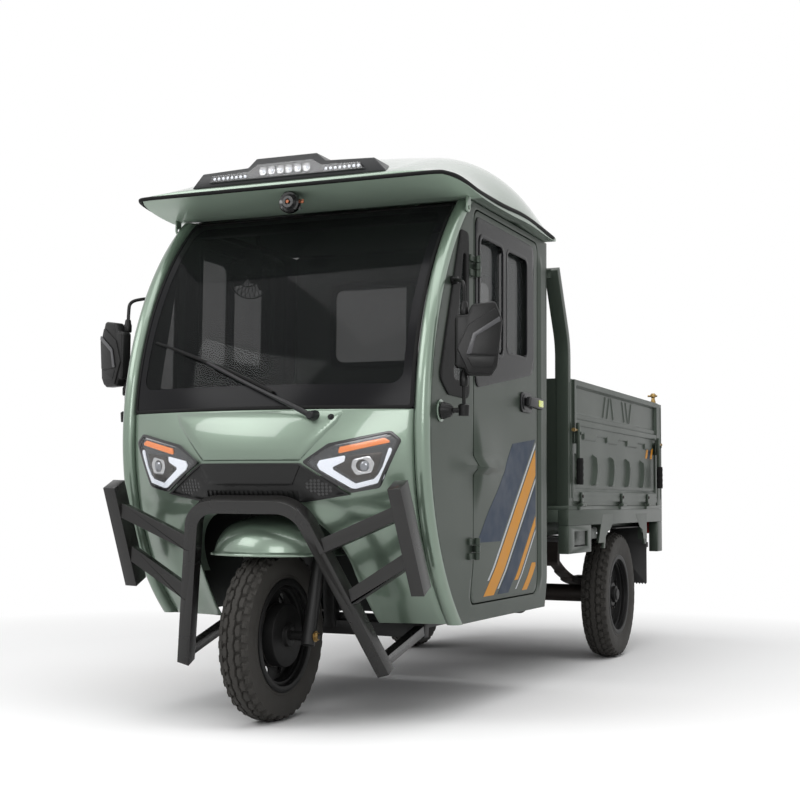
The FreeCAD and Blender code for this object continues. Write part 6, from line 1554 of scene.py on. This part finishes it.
# Where the lever, its base and its hook stand along the side
LATCHES = ((0.039, 0.039, 0.001), (1.340, 1.350, 1.414))
LATCH_LEVER = ((0.001, 0.938), (0.014, 0.940), (0.025, 0.880), (0.025, 0.796), (0.004, 0.796), (0.006, 0.870))
PIVOT_BOLT = ((0.0, 0.0), (0.0, 0.007), (0.018, 0.007), (0.020, 0.005), (0.020, 0.0))
HOOK = ((-0.004, 0), (-0.004, 0.0072), (0.004, 0.0072), (0.004, 0))
GRIP_WAVES = 9
levers, grips, catches = [], [], []
for low_y, base_y, hook_y in LATCHES:
    pivot_y = base_y + 0.020
    near, far = sorted((hook_y, pivot_y))
    wave = [(BED_HALF + 0.022, low_y + 0.014, 0.808 - 0.0122 * k, (0.86, 1.0)[k % 2])
            for k in range(GRIP_WAVES)]
    levers += [block((BED_HALF + 0.0003, base_y, 0.862), (BED_HALF + 0.0085, base_y + 0.040, 0.918), 0.003),
               prism([(low_y + y, z) for y, z in LATCH_LEVER], BED_HALF + 0.010, BED_HALF + 0.024, "x",
                     0.003),
               turned(PIVOT_BOLT, (BED_HALF + 0.008, pivot_y, 0.900), "x", 6)]
    grips.append(tube(wave, 0.0148, 10))
    catches += [tube([(ROD_OUT, near, LATCH_ROD_HIGH), (BED_HALF + 0.015, (near + far) / 2, LATCH_ROD_HIGH),
                      (ROD_OUT, far, LATCH_ROD_HIGH)], 0.0045),
                turned(HOOK, (ROD_OUT, hook_y, LATCH_ROD_HIGH), "y", 16)]
pair("latch_levers", joined(*levers), side_painted_shade, "side_gate_{}", ("gate_latches_{}",))
pair("latch_grips", joined(*grips), seal_rubber, "side_gate_{}")
pair("latch_rods", joined(*catches), brass, "side_gate_{}")


# Load bed. A sheet floor on cross bearers, welded corner posts, a slatted headboard and the rack behind
# the cab, with skirts and stepped struts under the edge, and a tailgate with pressed uprights.

# Flanges of the struts across the vehicle: place, and how far in the top reaches
STRUTS, STRUT_OUT = ((0.462, 0.085), (1.131, 0.070)), 0.532
LINERS = (((0.4700, 0.150, 0.480), (0.4725, 0.455, 0.6000)),
          ((0.4700, 0.470, 0.500), (0.4725, 0.592, 0.5440)),
          ((0.4900, 0.470, 0.545), (0.4925, 1.125, 0.6000)))
# Outlines of the plates along the vehicle
PLATES = (((0.449, 0.5995), (0.608, 0.5995), (0.600, 0.560), (0.560, 0.535), (0.517, 0.528), (0.469, 0.487),
           (0.385, 0.487)),
          ((0.985, 0.5995), (1.185, 0.5995), (1.190, 0.487), (1.128, 0.487), (1.110, 0.528), (1.060, 0.540)))
PLATE_IN, PLATE_OUT = 0.5345, 0.5375
TAIL_X, TAIL_BASE_Y = 0.487, 1.482
# The tailgate's frame: from and to across, from and to upward
TAIL_FRAME = ((-TAIL_X, TAIL_X, 1.068, 1.0995), (-TAIL_X, TAIL_X, 0.648, 0.690),
              (-TAIL_X, -TAIL_X + 0.028, 0.69, 1.068), (TAIL_X - 0.028, TAIL_X, 0.69, 1.068))
POST_KNOB = ((0.0, 0), (0.0, 0.010), (0.010, 0.012), (0.024, 0.008), (0.030, 0.008), (0.034, 0.013),
             (0.044, 0.013), (0.050, 0.008), (0.050, 0))


def tail_relief(x, z):
    """How far the tailgate's face stands out from its sheet."""
    height = 0.006 * max(1 - step_up(RAIL_WIDE, TAIL_X - abs(x)), step_up(1.062, z), 1 - step_up(0.684, z))
    height = max(height, 0.006 * step_up(LEDGE_LOW, z) * (1 - step_up(LEDGE_TOP, z)))
    for k in range(5):
        height = max(height, 0.006 * (1 - ramp_up(0.013, 0.019, abs(x - BED_HALF * (0.35 * k - 0.7)))))
    return height


dressed("bed_floor", side_painted_shade, 0.0015)
dressed("bed_bearers", side_painted_shade, 0.002)
dressed("bed_frame", side_painted_shade, 0.005, 3)
dressed("bed_skirts", side_painted_shade, 0.0025, 2)
flanges = [block(low, high, 0.0006) for low, high in LINERS]
flanges += [prism(plate, PLATE_IN, PLATE_OUT, "x", 0.0008, 1) for plate in PLATES]
for y, reach in STRUTS:
    flange = [(STRUT_OUT, 0.5980), (STRUT_OUT - reach, 0.5980), (STRUT_OUT - reach, 0.562), (0.510, 0.545),
              (0.510, 0.486), (STRUT_OUT, 0.486)]
    flanges.append(prism(flange, y, y + 0.0025, "y", 0.0006, 1))
piece("skirt_flanges", both_sides(*flanges), side_painted_shade, "bed")
red_lens = finish("tail_lamp_red", (0.42, 0.012, 0.010), 0.16, coat=0.7, mottle=0.06, mottle_size=0.02)
dressed("tail_lamps", red_lens, 0.005, 3)
tail_parts = [relief_panel(spread(-TAIL_X, TAIL_X, 0.0045), spread(0.648, 1.100, 0.006), GATE_WALL,
                           lambda x, z: Vector((x, TAIL_BASE_Y + tail_relief(x, z), z)), (0, 1, 0))]
tail_parts += [block((x0, 1.458, z0), (x1, 1.480, z1), 0.003) for x0, x1, z0, z1 in TAIL_FRAME]
for share in TAIL_HINGES:
    x = share * BED_HALF + KNUCKLE_SHIFT
    tail_parts.append(turned(KNUCKLE, (x, 1.499, KNUCKLE_HIGH), "x", 20))
    tail_parts.append(block((x + 0.001, 1.4875, KNUCKLE_HIGH), (x + 0.0287, 1.4945, 0.683), 0.0015))
piece("tailgate_panel", joined(*tail_parts), side_painted_shade, "tailgate", ("tailgate",), 40)
knob = both_sides(turned(POST_KNOB, (0.515, 1.425, 1.100), "z", 20),
                  tube([(0.490, 1.425, 1.138), (0.515, 1.425, 1.138), (0.534, 1.425, 1.138)], 0.0045))
piece("post_knobs", knob, brass, "bed")
beads = [tube([(BED_HALF - 0.001, y, z) for z in (0.660, 0.88, 1.085)], 0.0028)
         for y in (-0.008, 0.022, 1.405, 1.470)]
piece("post_beads", both_sides(*beads), side_painted_shade, "bed")


# Front fender, turned from sheet over the wheel, with a rolled lip.

dressed("front_fender", body_paint, 0.0015, 2, smooth=50)
lip = turned([(-0.003, 0.199), (-0.003, 0.2025), (0.0, 0.2035), (0.003, 0.2025), (0.003, 0.199),
              (-0.003, 0.199)], (0, -1.230, 0.4875), "z", 96)
piece("fender_lip", lip, body_paint, "steering")


# Small hardware: the front axle's nuts, and the plates that carry the mud flaps.

AXLE_WASHER = ((0.1395, 0), (0.1395, 0.016), (0.1415, 0.016), (0.1415, 0))
AXLE_NUT = ((0.1415, 0), (0.1415, 0.0125), (0.1490, 0.0125), (0.1505, 0.0100), (0.1505, 0))
axle_nuts = both_sides(turned(AXLE_WASHER, FRONT_WHEEL, "x", 28), turned(AXLE_NUT, FRONT_WHEEL, "x", 6))
piece("axle_nuts", axle_nuts, brass, "steering")
flap_plates = both_sides(block((0.360, 1.2215, 0.440), (0.528, 1.2245, 0.555), 0.001),
                         block((0.362, 0.690, 0.5385), (0.528, 1.2245, 0.5425), 0.001))
piece("flap_plates", flap_plates, flap_rubber)
